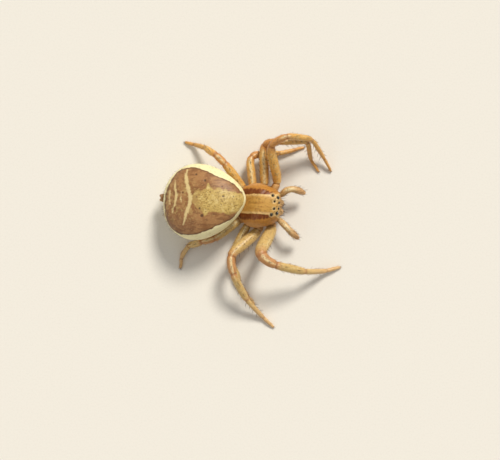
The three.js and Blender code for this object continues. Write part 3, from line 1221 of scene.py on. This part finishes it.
@dataclass
class Abdomen:
    """The abdomen: broadest behind its middle, with the leaf marking on its back."""

    node: str = "abdomen"
    turn: float = math.radians(1.5)
    slices: int = 60
    middle_height: float = 2.2
    # The share of the half width that the leaf marking reaches, at shares of the length.
    leaf_left: tuple = ((0, 0), (0.04, 0.5), (0.13, 0.7), (0.35, 0.71), (0.6, 0.88), (0.8, 0.945), (1, 0.97))
    leaf_right: tuple = ((0, 0), (0.04, 0.62), (0.15, 0.86), (0.35, 0.8), (0.6, 0.87), (0.8, 0.94), (1, 0.96))
    # How far out the cream patch reaches, at shares of the length.
    patch_left: tuple = (
        (0.0, 0.3),
        (0.14, 0.37),
        (0.23, 0.58),
        (0.33, 0.67),
        (0.38, 0.6),
        (0.41, 0.74),
        (0.44, 1.1),
        (0.48, 0.72),
        (0.52, 0.56),
        (0.57, 0.68),
        (0.62, 0.55),
        (0.66, 0.0),
    )
    patch_right: tuple = (
        (0.0, 0.5),
        (0.1, 0.92),
        (0.23, 1.02),
        (0.31, 0.95),
        (0.4, 0.8),
        (0.45, 0.9),
        (0.495, 1.14),
        (0.53, 0.68),
        (0.58, 0.6),
        (0.62, 0.35),
        (0.66, 0.0),
    )
    # Each bar: its half width, and its line as how far out and the share of the length.
    bars: tuple = (
        (
            0.125,
            (
                (-1.6, 0.755),
                (-0.77, 0.71),
                (-0.26, 0.67),
                (0.26, 0.66),
                (0.87, 0.687),
                (1.78, 0.71),
                (2.15, 0.685),
            ),
        ),
        (0.075, ((-0.75, 0.885), (-0.41, 0.868), (0.02, 0.838), (0.46, 0.828), (0.89, 0.844), (1.5, 0.836))),
        (0.055, ((-0.2, 0.91), (0.29, 0.915), (0.85, 0.905))),
        (0.06, ((-0.1, 0.765), (0.2, 0.775), (0.7, 0.768))),
    )
    # The muscle marks and the larger specks: the share of the length, how far out and the radius.
    dots: tuple = (
        (0.583, 1.72, 0.07),
        (0.527, -1.05, 0.1),
        (0.48, 1.26, 0.08),
        (0.268, 0.14, 0.075),
        (0.553, -0.56, 0.07),
        (0.28, 0.79, 0.05),
        (0.468, 0.02, 0.05),
        (0.749, 0.56, 0.06),
        (0.149, 0.09, 0.05),
        (0.153, 0.98, 0.06),
        (0.294, -0.42, 0.045),
        (0.587, 0.2, 0.05),
        (0.14, -0.56, 0.04),
    )
    dot_fullness: float = 1.1
    lung_place: tuple[float, float] = (0.14, 0.7)
    lung_radius: float = 0.36
    fold_depth: float = 0.009
    fold_spacing: float = 0.27
    wrinkle_spacing: float = 0.32
    furrow_share: float = 0.235
    furrow_depth: float = 0.04
    back_hair: Hair = Hair(0.16, 0.0062, 1.2)
    belly_hair: Hair = Hair(0.11, 0.0062, 1.2)
    hair_count: int = 700

    def build(self) -> Piece:
        """Models the abdomen's skin.

        Returns:
            The piece.
        """
        piece = copy_of_solid(self.node, "skin_abdomen")
        edit(piece, (bpy.ops.mesh.tris_convert_to_quads, {}))
        apply_modifier(piece, "SUBSURF", levels=3, render_levels=3)
        at = self.places(points_of(piece))
        self.fold(piece, at)
        self.mark(piece, at)
        self.plant_hairs(piece, at)
        return finish_piece(piece, AbdomenSkin().build(), "abdomen_skin", self.node)

    def places(self, points: np.ndarray) -> AbdomenPlaces:
        """Finds where points lie on the abdomen.

        Args:
            points: Points in the frame, in millimetres.

        Returns:
            Their places on it.
        """
        front = points[np.argmax(points[:, 0])]
        back = np.array([-math.cos(self.turn), -math.sin(self.turn)])
        left = np.array([-math.sin(self.turn), math.cos(self.turn)])
        along = (points[:, :2] - front[:2]) @ back
        share = along / along.max()
        out = (points[:, :2] - front[:2]) @ left
        number = np.clip(np.round(share * self.slices).astype(int), 0, self.slices)
        rows = [self.slice_measures(points[number == n], out[number == n]) for n in range(self.slices + 1)]
        steps = np.linspace(0, 1, self.slices + 1)
        high, low, level = np.array(rows).T
        middle = np.interp(share, steps, (high + low) / 2)
        half = np.interp(share, steps, (high - low) / 2)
        below = (np.interp(share, steps, level) - points[:, 2]) / np.ptp(points[:, 2]) * 2
        return AbdomenPlaces(share, out - middle, np.maximum(half, 0.05), below, along.max())

    @staticmethod
    def slice_measures(points: np.ndarray, out: np.ndarray) -> tuple[float, float, float]:
        """Measures one slice: how far left and right it reaches, and its height where it is widest."""
        left, right = np.argmax(out), np.argmin(out)
        return out[left], out[right], (points[left, 2] + points[right, 2]) / 2

    def fold(self, piece: Piece, at: AbdomenPlaces) -> None:
        """Presses the muscle marks, the folds and the belly's furrow into the skin.

        Args:
            piece: The skin, in millimetres.
            at: Where its points lie on the abdomen.
        """
        heights = points_of(piece)[:, 2]
        depth = np.zeros(len(heights))
        for along, left, radius in self.dots:
            away = np.hypot((at.share - along) * at.length, at.out - left)
            depth += 0.35 * radius * np.exp(-((away / (1.1 * radius)) ** 2)) * (at.below < 0)
        side = np.exp(-((((np.abs(at.out) / at.half) - 0.96) / 0.12) ** 2))
        sway = 0.9 * np.sin(at.share * 17 + np.sign(at.out)) + 0.5 * np.sin(at.share * 41)
        lengthwise = heights * 2 * math.pi / self.fold_spacing + 1.6 * at.share * at.length + sway
        depth += self.fold_depth * side * np.sin(lengthwise)
        rear = np.clip((at.share - 0.72) / 0.2, 0, 1) * np.exp(-((at.out / at.half) ** 2) * 1.2)
        crosswise = at.share * at.length * 2 * math.pi / self.wrinkle_spacing + 0.8 * np.sin(at.out * 2.3)
        depth += self.fold_depth * rear * np.sin(crosswise)
        off = (at.share - self.furrow_share) * at.length + 0.12 * np.abs(at.out)
        fade = np.clip((1.25 - np.abs(at.out)) / 0.4, 0, 1)
        depth += self.furrow_depth * np.exp(-((off / 0.05) ** 2)) * (at.below > 0.4) * fade
        swell(piece, -depth[:, None])

    def mark(self, piece: Piece, at: AbdomenPlaces) -> None:
        """Writes how far inside each marking every point lies.

        Args:
            piece: The skin, in millimetres.
            at: Where its points lie on the abdomen.
        """
        along, left = self.lung_place
        from_lung = np.hypot((at.share - along) * at.length, np.abs(at.out) - left)
        edge = self.edge_beside(at, self.patch_left, self.patch_right)
        write_attributes(
            piece,
            leaf=self.inside_leaf(at),
            patch=np.where(at.below < 0, edge - np.abs(at.out), -1.0),
            bars=self.inside_bars(at),
            dots=self.inside_dots(at),
            lungs=np.where(at.below > 0, self.lung_radius - from_lung, -1.0),
            below=at.below,
            along=at.share,
            middle=np.abs(at.out),
        )

    @staticmethod
    def edge_beside(at: AbdomenPlaces, left: tuple, right: tuple) -> np.ndarray:
        """How far out a marking's edge lies beside each point, on the point's own side."""
        return np.where(at.out > 0, np.interp(at.share, *zip(*left)), np.interp(at.share, *zip(*right)))

    def inside_leaf(self, at: AbdomenPlaces) -> np.ndarray:
        """How far inside the leaf marking each point lies. It stops short of the front and of the rear.

        Args:
            at: Where the points lie on the abdomen.

        Returns:
            The distances, less than zero outside.
        """
        limit = self.edge_beside(at, self.leaf_left, self.leaf_right)
        rear = np.clip((at.share - 0.62) / 0.25, 0, 1)
        front = np.clip((0.035 - at.share) / 0.035, 0, 1)
        above = -0.6 * (at.below + 0.2 * rear) * at.half
        return np.minimum(limit * at.half - np.abs(at.out), above) - 0.25 * front

    def inside_bars(self, at: AbdomenPlaces) -> np.ndarray:
        """How far inside a pale bar each point lies. The bars taper to their ends.

        Args:
            at: Where the points lie on the abdomen.

        Returns:
            The distances, less than zero outside.
        """
        inside = np.full(len(at.share), -1.0)
        for width, line in self.bars:
            middle = np.interp(at.out, *zip(*line))
            ends = np.minimum(at.out - line[0][0], line[-1][0] - at.out)
            taper = width * np.clip(0.3 + ends * 0.8, 0, 1)
            within = (ends > 0) & (at.below < 0)
            inside = np.maximum(inside, np.where(within, taper - np.abs(at.share - middle) * at.length, -1.0))
        return inside

    def inside_dots(self, at: AbdomenPlaces) -> np.ndarray:
        """How far inside a dark dot each point lies.

        Args:
            at: Where the points lie on the abdomen.

        Returns:
            The distances, less than zero outside.
        """
        inside = np.full(len(at.share), -1.0)
        for along, left, radius in self.dots:
            away = np.hypot((at.share - along) * at.length, at.out - left)
            inside = np.maximum(inside, np.where(at.below < 0, radius * self.dot_fullness - away, -1.0))
        return inside

    def plant_hairs(self, piece: Piece, at: AbdomenPlaces) -> None:
        """Plants the short stiff hairs of the abdomen.

        Args:
            piece: The skin, in millimetres.
            at: Where its points lie on the abdomen.
        """
        coat = Bristles("bristles_abdomen", Seed.ABDOMEN.value)
        points, normals = points_of(piece), normals_of(piece)
        back = np.array([-0.9, 0.0, 0.15])
        for number in coat.draw.choice(len(points), self.hair_count, replace=False):
            turn = math.atan2(points[number, 2] - self.middle_height, at.out[number]) / (2 * math.pi) + 0.5
            hair = self.back_hair if at.below[number] < 0 else self.belly_hair
            coat.plant(points[number], normals[number], back, hair, (turn, float(at.share[number])))
        coat.build(BROWN_HAIR.build(), "abdomen_skin")


@dataclass(frozen=True)
class ShieldPoints:
    """The carapace's points and normals, and how far forward and how far left on it each point lies."""

    points: np.ndarray
    normals: np.ndarray
    forward: np.ndarray
    out: np.ndarray


@dataclass
class Carapace:
    """The shield over the front body, with its grooves and its long face bristles."""

    node: str = "carapace"
    yaw: float = math.radians(-4)
    band: float = 0.66
    grain: float = 0.045
    passes: int = 9
    fovea_depth: float = 0.05
    groove_depth: float = 0.028
    # Each pair of grooves: how far it leans forward, and its reach.
    grooves: tuple = ((0.75, 0.9), (0.1, 0.8), (-0.6, 0.75))
    # The strong bristles of one side: how far forward and how far out.
    face: tuple = (
        (1.42, 0.1),
        (1.42, 0.36),
        (1.4, 0.62),
        (1.12, 0.1),
        (0.98, 0.42),
        (0.72, 0.3),
        (0.72, 0.85),
        (0.35, 0.4),
        (0.3, 0.95),
        (-0.1, 0.3),
        (-0.15, 0.62),
        (-0.5, 0.55),
        (-0.9, 0.4),
    )
    lip: tuple = (0.12, 0.36, 0.58, 0.78)
    face_bristle: Hair = Hair(0.42, 0.014, 0.5)
    back_bristle: Hair = Hair(0.28, 0.014, 0.5)
    lip_bristle: Hair = Hair(0.4, 0.014, 0.8)
    short_hair: Hair = Hair(0.12, 0.007, 0.9)
    hair_count: int = 260
    middle: np.ndarray = field(init=False)

    def build(self) -> Piece:
        """Models the carapace.

        Returns:
            The piece.
        """
        low, high = solid_corners(self.node)
        self.middle = (low + high) / 2
        piece = rounded_copy(self.node, "shell_carapace", self.grain, self.passes)
        forward, out = self.places(points_of(piece))
        self.press_grooves(piece, forward, out)
        self.mark(piece, forward, out)
        self.plant_hairs(ShieldPoints(points_of(piece), normals_of(piece), forward, out))
        return finish_piece(piece, CarapaceShell().build(), "carapace_shell", self.node)

    def places(self, points: np.ndarray) -> tuple[np.ndarray, np.ndarray]:
        """Finds where points lie on the carapace.

        Args:
            points: Points in the frame, in millimetres.

        Returns:
            How far forward and how far left each one lies.
        """
        x, y = points[:, 0] - self.middle[0], points[:, 1] - self.middle[1]
        cos, sin = math.cos(self.yaw), math.sin(self.yaw)
        return x * cos + y * sin, y * cos - x * sin

    def press_grooves(self, piece: Piece, forward: np.ndarray, out: np.ndarray) -> None:
        """Presses the middle groove and the grooves that run from it into the shell.

        Args:
            piece: The shell, in millimetres.
            forward: How far forward each point lies.
            out: How far left it lies.
        """
        top = np.clip((points_of(piece)[:, 2] - self.middle[2]) / 0.4, 0, 1)
        depth = self.fovea_depth * np.exp(-((out / 0.05) ** 2) - ((forward + 0.45) / 0.26) ** 2)
        along = np.abs(out)
        for lean, reach in self.grooves:
            off = forward + 0.3 - lean * along
            fade = np.clip((along - 0.2) / 0.3, 0, 1) * np.clip((1.35 * reach - along) / 0.4, 0, 1)
            depth += self.groove_depth * np.exp(-((off / 0.09) ** 2)) * fade
        swell(piece, -(depth * top)[:, None])

    def mark(self, piece: Piece, forward: np.ndarray, out: np.ndarray) -> None:
        """Writes how far forward, how far outside the pale band and how far from the eyes each point lies.

        Args:
            piece: The shell, in millimetres.
            forward: How far forward each point lies.
            out: How far left it lies.
        """
        width = self.band * (1 - 0.12 * np.clip((-forward - 0.2) / 1.3, 0, 1) ** 2)
        spread = 0.2 * np.clip((forward - 0.9) / 0.5, 0, 1)
        points = points_of(piece)
        lenses = [Eyes.lens(name) for name in Eyes.names()]
        away = [np.linalg.norm(points - middle, axis=1) - radius for middle, radius in lenses]
        outside = np.abs(out) - width - spread
        write_attributes(piece, forward=forward, outside=outside, eyes=np.min(away, axis=0))

    def plant_hairs(self, shield: ShieldPoints) -> None:
        """Plants the long bristles of the face and its lip, and the short hairs of the shell.

        Args:
            shield: The shell's points.
        """
        coat = Bristles("bristles_carapace", Seed.CARAPACE.value)
        heights = shield.points[:, 2]
        for forward, left in self.face:
            for side in Side:
                away = np.hypot(shield.forward - forward, shield.out - side.value * left) - 0.2 * heights
                hair = self.face_bristle if forward > 0.6 else self.back_bristle
                self.plant(coat, shield, int(np.argmin(away)), hair)
        for left in self.lip:
            for side in Side:
                away = np.hypot(shield.forward - 1.5, shield.out - side.value * left) + 1.2 * heights
                self.plant(coat, shield, int(np.argmin(away)), self.lip_bristle)
        upper = np.flatnonzero(heights > self.middle[2] - 0.3)
        for number in coat.draw.choice(upper, self.hair_count, replace=False):
            self.plant(coat, shield, int(number), self.short_hair)
        coat.build(BRISTLE.build(), "carapace_shell")

    def plant(self, coat: Bristles, shield: ShieldPoints, number: int, hair: Hair) -> None:
        """Plants one hair that leans forward.

        Args:
            coat: The hairs.
            shield: The shell's points.
            number: The number of the point that it stands on.
            hair: The kind of hair.
        """
        ahead = np.array([math.cos(self.yaw), math.sin(self.yaw), 0.25])
        unwrap = (0.5 + float(shield.out[number]) / 4, 0.5 + float(shield.forward[number]) / 4)
        coat.plant(shield.points[number], shield.normals[number], ahead, hair, unwrap)


@dataclass
class Underside:
    """The sternum with its coxae, drawn up to the carapace's edge by soft skin."""

    node: str = "sternum"
    grain: float = 0.045
    passes: int = 9
    rise: float = 0.09

    def build(self) -> Piece:
        """Models the underside.

        Returns:
            The piece.
        """
        top = solid_corners(self.node)[1][2]
        piece = rounded_copy(self.node, "skin_underside", self.grain, self.passes)
        points = points_of(piece)
        points[:, 2] += self.rise * np.clip((points[:, 2] - top + 0.25) / 0.2, 0, 1)
        set_points(piece, points)
        return finish_piece(piece, UndersideShell().build(), "underside_shell", self.node)


@dataclass
class Jaws:
    """The two chelicerae side by side, with their fangs and a few stiff bristles."""

    grain: float = 0.028
    passes: int = 5
    fullness: float = 0.035
    bristle: Hair = Hair(0.17, 0.008, 0.8)
    bristle_count: int = 26

    def build(self) -> None:
        """Models both chelicerae."""
        shell, dark = JawShell().build(), BRISTLE.build()
        for number, side in enumerate(Side):
            node = f"chelicera_{side.word}"
            piece = rounded_copy(node, f"shell_{node}", self.grain, self.passes)
            swell(piece, self.fullness)
            heights = points_of(piece)[:, 2]
            down = (heights.max() - heights) / np.ptp(heights)
            write_attributes(piece, down=down)
            self.bristles(piece, down, node, Seed.JAW.value + number).build(dark, "jaw_shell")
            finish_piece(piece, shell, "jaw_shell", node)

    def bristles(self, piece: Piece, down: np.ndarray, node: str, seed: int) -> Bristles:
        """Plants the bristles on the front of one jaw.

        Args:
            piece: The jaw, in millimetres.
            down: The share of the way down for each of its points.
            node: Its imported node.
            seed: The start of its random draw.

        Returns:
            The bristles.
        """
        coat = Bristles(f"bristles_{node}", seed)
        points, normals = points_of(piece), normals_of(piece)
        front = np.flatnonzero((normals[:, 0] > 0.2) & (down > 0.08) & (down < 0.75))
        for place in coat.draw.choice(front, self.bristle_count, replace=False):
            unwrap = (0.5 + 0.3 * float(normals[place, 1]), float(down[place]))
            coat.plant(points[place], normals[place], np.array((0.2, 0, -1.0)), self.bristle, unwrap)
        return coat


@dataclass
class SmallPart:
    """A small body part smoothed from its solid: the pedicel or the spinnerets."""

    node: str
    slot: str
    grain: float
    passes: int
    skin: UndersideShell

    def build(self) -> Piece:
        """Models the part.

        Returns:
            The piece.
        """
        piece = rounded_copy(self.node, f"skin_{self.node}", self.grain, self.passes)
        return finish_piece(piece, self.skin.build(), self.slot, self.node)


@dataclass
class Eyes:
    """Eight lenses, each a smooth ball in its socket."""

    fullness: float = 0.88
    segments: int = 24
    rings: int = 16

    ROWS = ("front_median", "front_lateral", "rear_median", "rear_lateral")

    @classmethod
    def names(cls) -> list[str]:
        """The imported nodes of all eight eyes."""
        return [f"eye_{row}_{side.word}" for row in cls.ROWS for side in Side]

    @staticmethod
    def lens(node: str) -> tuple[np.ndarray, float]:
        """An eye's middle and radius, in millimetres."""
        low, high = solid_corners(node)
        return (low + high) / 2, float((high - low)[2] / 2)

    def build(self) -> None:
        """Models every lens from its solid."""
        glass = LENS.build()
        for node in self.names():
            middle, radius = self.lens(node)
            deselect_all()
            bpy.ops.mesh.primitive_uv_sphere_add(segments=self.segments, ring_count=self.rings, radius=1.0)
            piece = bpy.context.object
            piece.name = node.replace("eye", "lens")
            set_points(piece, points_of(piece) * radius * self.fullness + middle)
            finish_piece(piece, glass, "eye_lens", node)


@dataclass
class Legs:
    """Eight legs, with their spines, hairs and claws."""

    long_count: int = 560
    short_count: int = 380
    # The share of the hairs that stand on each segment.
    spread: tuple = (0.3, 0.14, 0.24, 0.2, 0.12)
    hair: Hair = Hair(0.13, 0.0065, 1.1)
    foot_hair: Hair = Hair(0.1, 0.0065, 1.1)
    claw: Hair = Hair(0.13, 0.022, 0.5)
    spine_radius: float = 0.02
    spine_slant: float = 0.9
    spine_rings: tuple = (0.0, 0.2, 0.45, 0.7, 0.88)

    def build(self) -> None:
        """Models every leg in order."""
        # left is the leg shell with painted flower light, warmer and yellower than right, which is the plain
        # shell.
        left, right = LEFT_LEG_FLOWER_LIT.build(), RIGHT_LEG.build()
        dark, pale = BRISTLE.build(), PALE_HAIR.build()
        for number, (side, rank) in enumerate((s, r) for s in Side for r in (1, 2, 3, 4)):
            limb = self.read(f"leg_{side.word}_{rank}")
            front = rank < 3
            slot = "front_leg_shell" if front else "rear_leg_shell"
            self.fuzz(limb, number, front).build(pale, slot)
            self.spines(limb, number, front).build(dark, slot)
            material = left if side is Side.LEFT else right
            finish_piece(limb.skin(), material, slot, *[part.node for part in limb.parts])

    @staticmethod
    def read(root: str) -> Limb:
        """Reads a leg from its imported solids.

        Args:
            root: The start of its nodes' names.

        Returns:
            The leg.
        """
        nodes = ["sternum"] + [f"{root}_{segment}" for segment in SEGMENTS] + [None]
        parts = [read_segment(nodes[i], nodes[i - 1], nodes[i + 1]) for i in range(1, 6)]
        return Limb(f"skin_{root}", parts)

    def fuzz(self, limb: Limb, number: int, front: bool) -> Bristles:
        """Plants a leg's fine hairs.

        Args:
            limb: The leg.
            number: Its number.
            front: Whether it is one of the four long front legs.

        Returns:
            The hairs.
        """
        coat = Bristles(limb.name.replace("skin", "hairs"), Seed.LEG_HAIRS.value + number)
        for _ in range(self.long_count if front else self.short_count):
            part = int(coat.draw.choice(5, p=self.spread))
            share = float(coat.draw.uniform(0.04, 0.98))
            turn = float(coat.draw.uniform(0, 2 * math.pi))
            self.plant(coat, limb, number, (part, share, turn), self.hair if part < 4 else self.foot_hair)
        return coat

    def spines(self, limb: Limb, number: int, front: bool) -> Bristles:
        """Plants a leg's strong spines and its claws.

        Args:
            limb: The leg.
            number: Its number.
            front: Whether it is one of the four long front legs.

        Returns:
            The spines and claws.
        """
        name = limb.name.replace("skin", "spines")
        coat = Bristles(name, Seed.LEG_SPINES.value + number, rings=self.spine_rings, sides=5)
        for part, share, turn, length in self.spine_places(front):
            spine = Hair(length, self.spine_radius, self.spine_slant)
            self.plant(coat, limb, number, (part, share, turn), spine)
        self.plant_claws(coat, limb, number)
        return coat

    @staticmethod
    def spine_places(front: bool) -> list[tuple]:
        """Where the strong spines stand.

        Args:
            front: Whether the leg is one of the four long front legs.

        Returns:
            For each spine its segment, share along it, turn from the top and length.
        """
        made = [(0, 0.3, 0.1, 0.3), (0, 0.55, 0.15, 0.32), (0, 0.78, -0.1, 0.3), (1, 0.55, 0.0, 0.26)]
        made += [(2, 0.25, 0.1, 0.28), (2, 0.7, -0.1, 0.28)]
        if front:
            made += [(0, share, 1.15, 0.3) for share in (0.35, 0.5, 0.65, 0.8)]
            for side in (-1, 1):
                made += [(2, share, side * 2.45, 0.42) for share in (0.22, 0.42, 0.62, 0.82)]
                made += [(3, share, side * 2.45, 0.46) for share in (0.1, 0.3, 0.5, 0.7, 0.88)]
        else:
            made += [(2, 0.5, 2.6, 0.26), (2, 0.9, -2.6, 0.26), (3, 0.4, 2.6, 0.28), (3, 0.9, -2.6, 0.24)]
        return made

    def plant(
        self, coat: Bristles, limb: Limb, number: int, spot: tuple[int, float, float], hair: Hair
    ) -> None:
        """Plants one hair on a leg, leaning towards its tip, unless the floor is in its way.

        Args:
            coat: The hairs.
            limb: The leg.
            number: Its number, which chooses its strip of the unwrap.
            spot: The segment, the share along it and the turn from the top.
            hair: The kind of hair.
        """
        part, share, turn = spot
        point, way, thick = limb.parts[part].at(share)
        flat = limb.parts[part].flatness
        across, above = frame_of(way)
        thick = thick * limb.pinch(part, share)
        place = point + thick * (across * math.sin(turn) + above * math.cos(turn) * flat)
        normal = across * math.sin(turn) * flat + above * math.cos(turn)
        normal = normal / np.linalg.norm(normal)
        room = place[2] - 0.02
        if room < 0 or (normal[2] < 0 and room < 0.5 * hair.length):
            return
        unwrap = ((number + 0.5 + 0.45 * turn / (2 * math.pi)) / STRIPS, (part + share) / 5)
        coat.plant(place, normal, way, hair, unwrap)

    def plant_claws(self, coat: Bristles, limb: Limb, number: int) -> None:
        """Plants the two small claws at a leg's tip.

        Args:
            coat: The leg's spines.
            limb: The leg.
            number: Its number.
        """
        point, way, radius = limb.parts[-1].at(1.0)
        across = frame_of(way)[0]
        for side in (-1, 1):
            root = point + across * side * radius * 0.4 + np.array((0, 0, radius * 0.3))
            root[2] = max(root[2], 0.05)
            rising = np.array((0.0, 0.0, 0.15)) + way
            coat.plant(root, rising, way * 0.6, self.claw, ((number + 0.5) / STRIPS, 0.995))


@dataclass
class Palps:
    """The two short feelers beside the jaws."""

    grain: float = 0.035
    passes: int = 14
    fullness: float = 0.02
    hair_count: int = 150
    hair_radius: float = 0.008
    hair_slant: float = 0.9

    def build(self) -> None:
        """Models both palps."""
        shell, dark = PALP_SHELL.build(), BRISTLE.build()
        for number, side in enumerate(Side):
            node = f"palp_{side.word}"
            piece = rounded_copy(node, f"skin_{node}", self.grain, self.passes)
            swell(piece, self.fullness)
            ahead = points_of(piece)[:, 0]
            reach = (ahead - ahead.min()) / np.ptp(ahead)
            top = normals_of(piece)[:, 2]
            write_attributes(piece, top=top, knee=reach * 0.3, tip=reach, membrane=np.zeros(len(reach)))
            self.hairs(piece, reach, number, side).build(dark, "palp_shell")
            finish_piece(piece, shell, "palp_shell", node)

    def hairs(self, piece: Piece, reach: np.ndarray, number: int, side: Side) -> Bristles:
        """Plants a palp's bristles, longer towards its tip.

        Args:
            piece: The palp, in millimetres.
            reach: The share of the way to its tip for each of its points.
            number: Its number, which chooses its strip of the unwrap and its random draw.
            side: The side that it is on.

        Returns:
            The bristles.
        """
        coat = Bristles(f"bristles_palp_{side.word}", Seed.PALP.value + number)
        points, normals = points_of(piece), normals_of(piece)
        lean = np.array((0.8, 0.3 if side is Side.LEFT else -0.6, -0.1))
        for place in coat.draw.choice(len(points), self.hair_count, replace=False):
            hair = Hair(0.1 + 0.12 * reach[place], self.hair_radius, self.hair_slant)
            unwrap = ((number + 8.5) / STRIPS + 0.02 * normals[place, 2], float(reach[place]))
            coat.plant(points[place], normals[place], lean, hair, unwrap)
        return coat


# The stage


@dataclass(frozen=True)
class Lamp:
    """A distant light: the way that it shines, its strength, its spread in degrees and its colour."""

    name: str
    way: tuple[float, float, float]
    strength: float
    spread: float
    colour: tuple[float, float, float]

    def hang(self) -> None:
        """Adds the light to the scene."""
        lamp = bpy.data.lights.new(self.name, "SUN")
        lamp.energy = self.strength
        lamp.angle = math.radians(self.spread)
        lamp.color = self.colour
        new_object(self.name, lamp).rotation_euler = Vector(self.way).to_track_quat("-Z", "Y").to_euler()


@dataclass
class Studio:
    """The floor, the light and the camera, set as the photograph was framed."""

    # The width of the view, and the view's middle from the middle of the carapace.
    field_of_view: float = 33.16
    frame_middle: tuple[float, float] = (-0.61, -1.64)
    aim_height: float = 1.5
    elevation: float = 86.0
    lens: float = 100.0
    sensor: float = 36.0
    floor_side: float = 600.0
    key: Lamp = Lamp("key light", (-0.37, -0.74, -0.85), 2.9, 18.0, (1.0, 0.95, 0.86))
    fill: Lamp = Lamp("fill light", (0.8, 0.35, -0.6), 0.3, 50.0, (1.0, 0.97, 0.93))
    sky_colour: tuple = (1.0, 0.97, 0.92, 1.0)
    sky_strength: float = 0.4

    def build(self, carapace: np.ndarray) -> None:
        """Sets the stage.

        Args:
            carapace: The middle of the carapace, in millimetres.
        """
        bpy.context.scene.view_settings.view_transform = "Standard"
        self.lay_floor()
        self.key.hang()
        self.fill.hang()
        self.raise_sky()
        self.place_camera(carapace)

    def lay_floor(self) -> None:
        """Lays a plain pale floor."""
        deselect_all()
        bpy.ops.mesh.primitive_plane_add(size=self.floor_side * MM, location=(0, 0, 0))
        floor = bpy.context.object
        floor.name = "floor"
        floor.data.materials.append(FLOOR_PAPER.build())

    def raise_sky(self) -> None:
        """Surrounds the scene with a pale sky."""
        world = bpy.data.worlds.new("sky")
        world.use_nodes = True
        sky = world.node_tree.nodes["Background"]
        sky.inputs["Color"].default_value = self.sky_colour
        sky.inputs["Strength"].default_value = self.sky_strength
        bpy.context.scene.world = world

    def place_camera(self, carapace: np.ndarray) -> None:
        """Places the camera over the animal, the photograph's way up.

        Args:
            carapace: The middle of the carapace, in millimetres.
        """
        data = bpy.data.cameras.new("camera")
        data.lens = self.lens
        data.sensor_width = self.sensor
        data.clip_start = 0.001
        data.clip_end = 10.0
        distance = self.field_of_view * self.lens / self.sensor * MM
        across, along = self.frame_middle
        aim = Vector((carapace[0] + across, carapace[1] + along, self.aim_height)) * MM
        rise = math.radians(self.elevation)
        back = Vector((0, -math.cos(rise), math.sin(rise)))
        camera = new_object("camera", data)
        camera.location = aim + back * distance
        camera.rotation_euler = (-back).to_track_quat("-Z", "Y").to_euler()
        bpy.context.scene.camera = camera


def main() -> None:
    """Builds the animal and its stage."""
    logging.basicConfig(level=logging.INFO, format="%(message)s")
    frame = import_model()
    LOG.info("dressing %d packed nodes", len(frame["nodes"]))
    carapace = Carapace()
    low, high = solid_corners(carapace.node)
    Studio().build((low + high) / 2)
    for part in (
        Abdomen(),
        carapace,
        Underside(),
        Eyes(),
        Legs(),
        Palps(),
        Jaws(),
        SmallPart("spinnerets", "spinneret_skin", 0.025, 28, SPINNERET_SKIN),
        SmallPart("pedicel", "underside_shell", 0.03, 2, PEDICEL_SKIN),
    ):
        part.build()


if __name__ == "__main__":
    main()
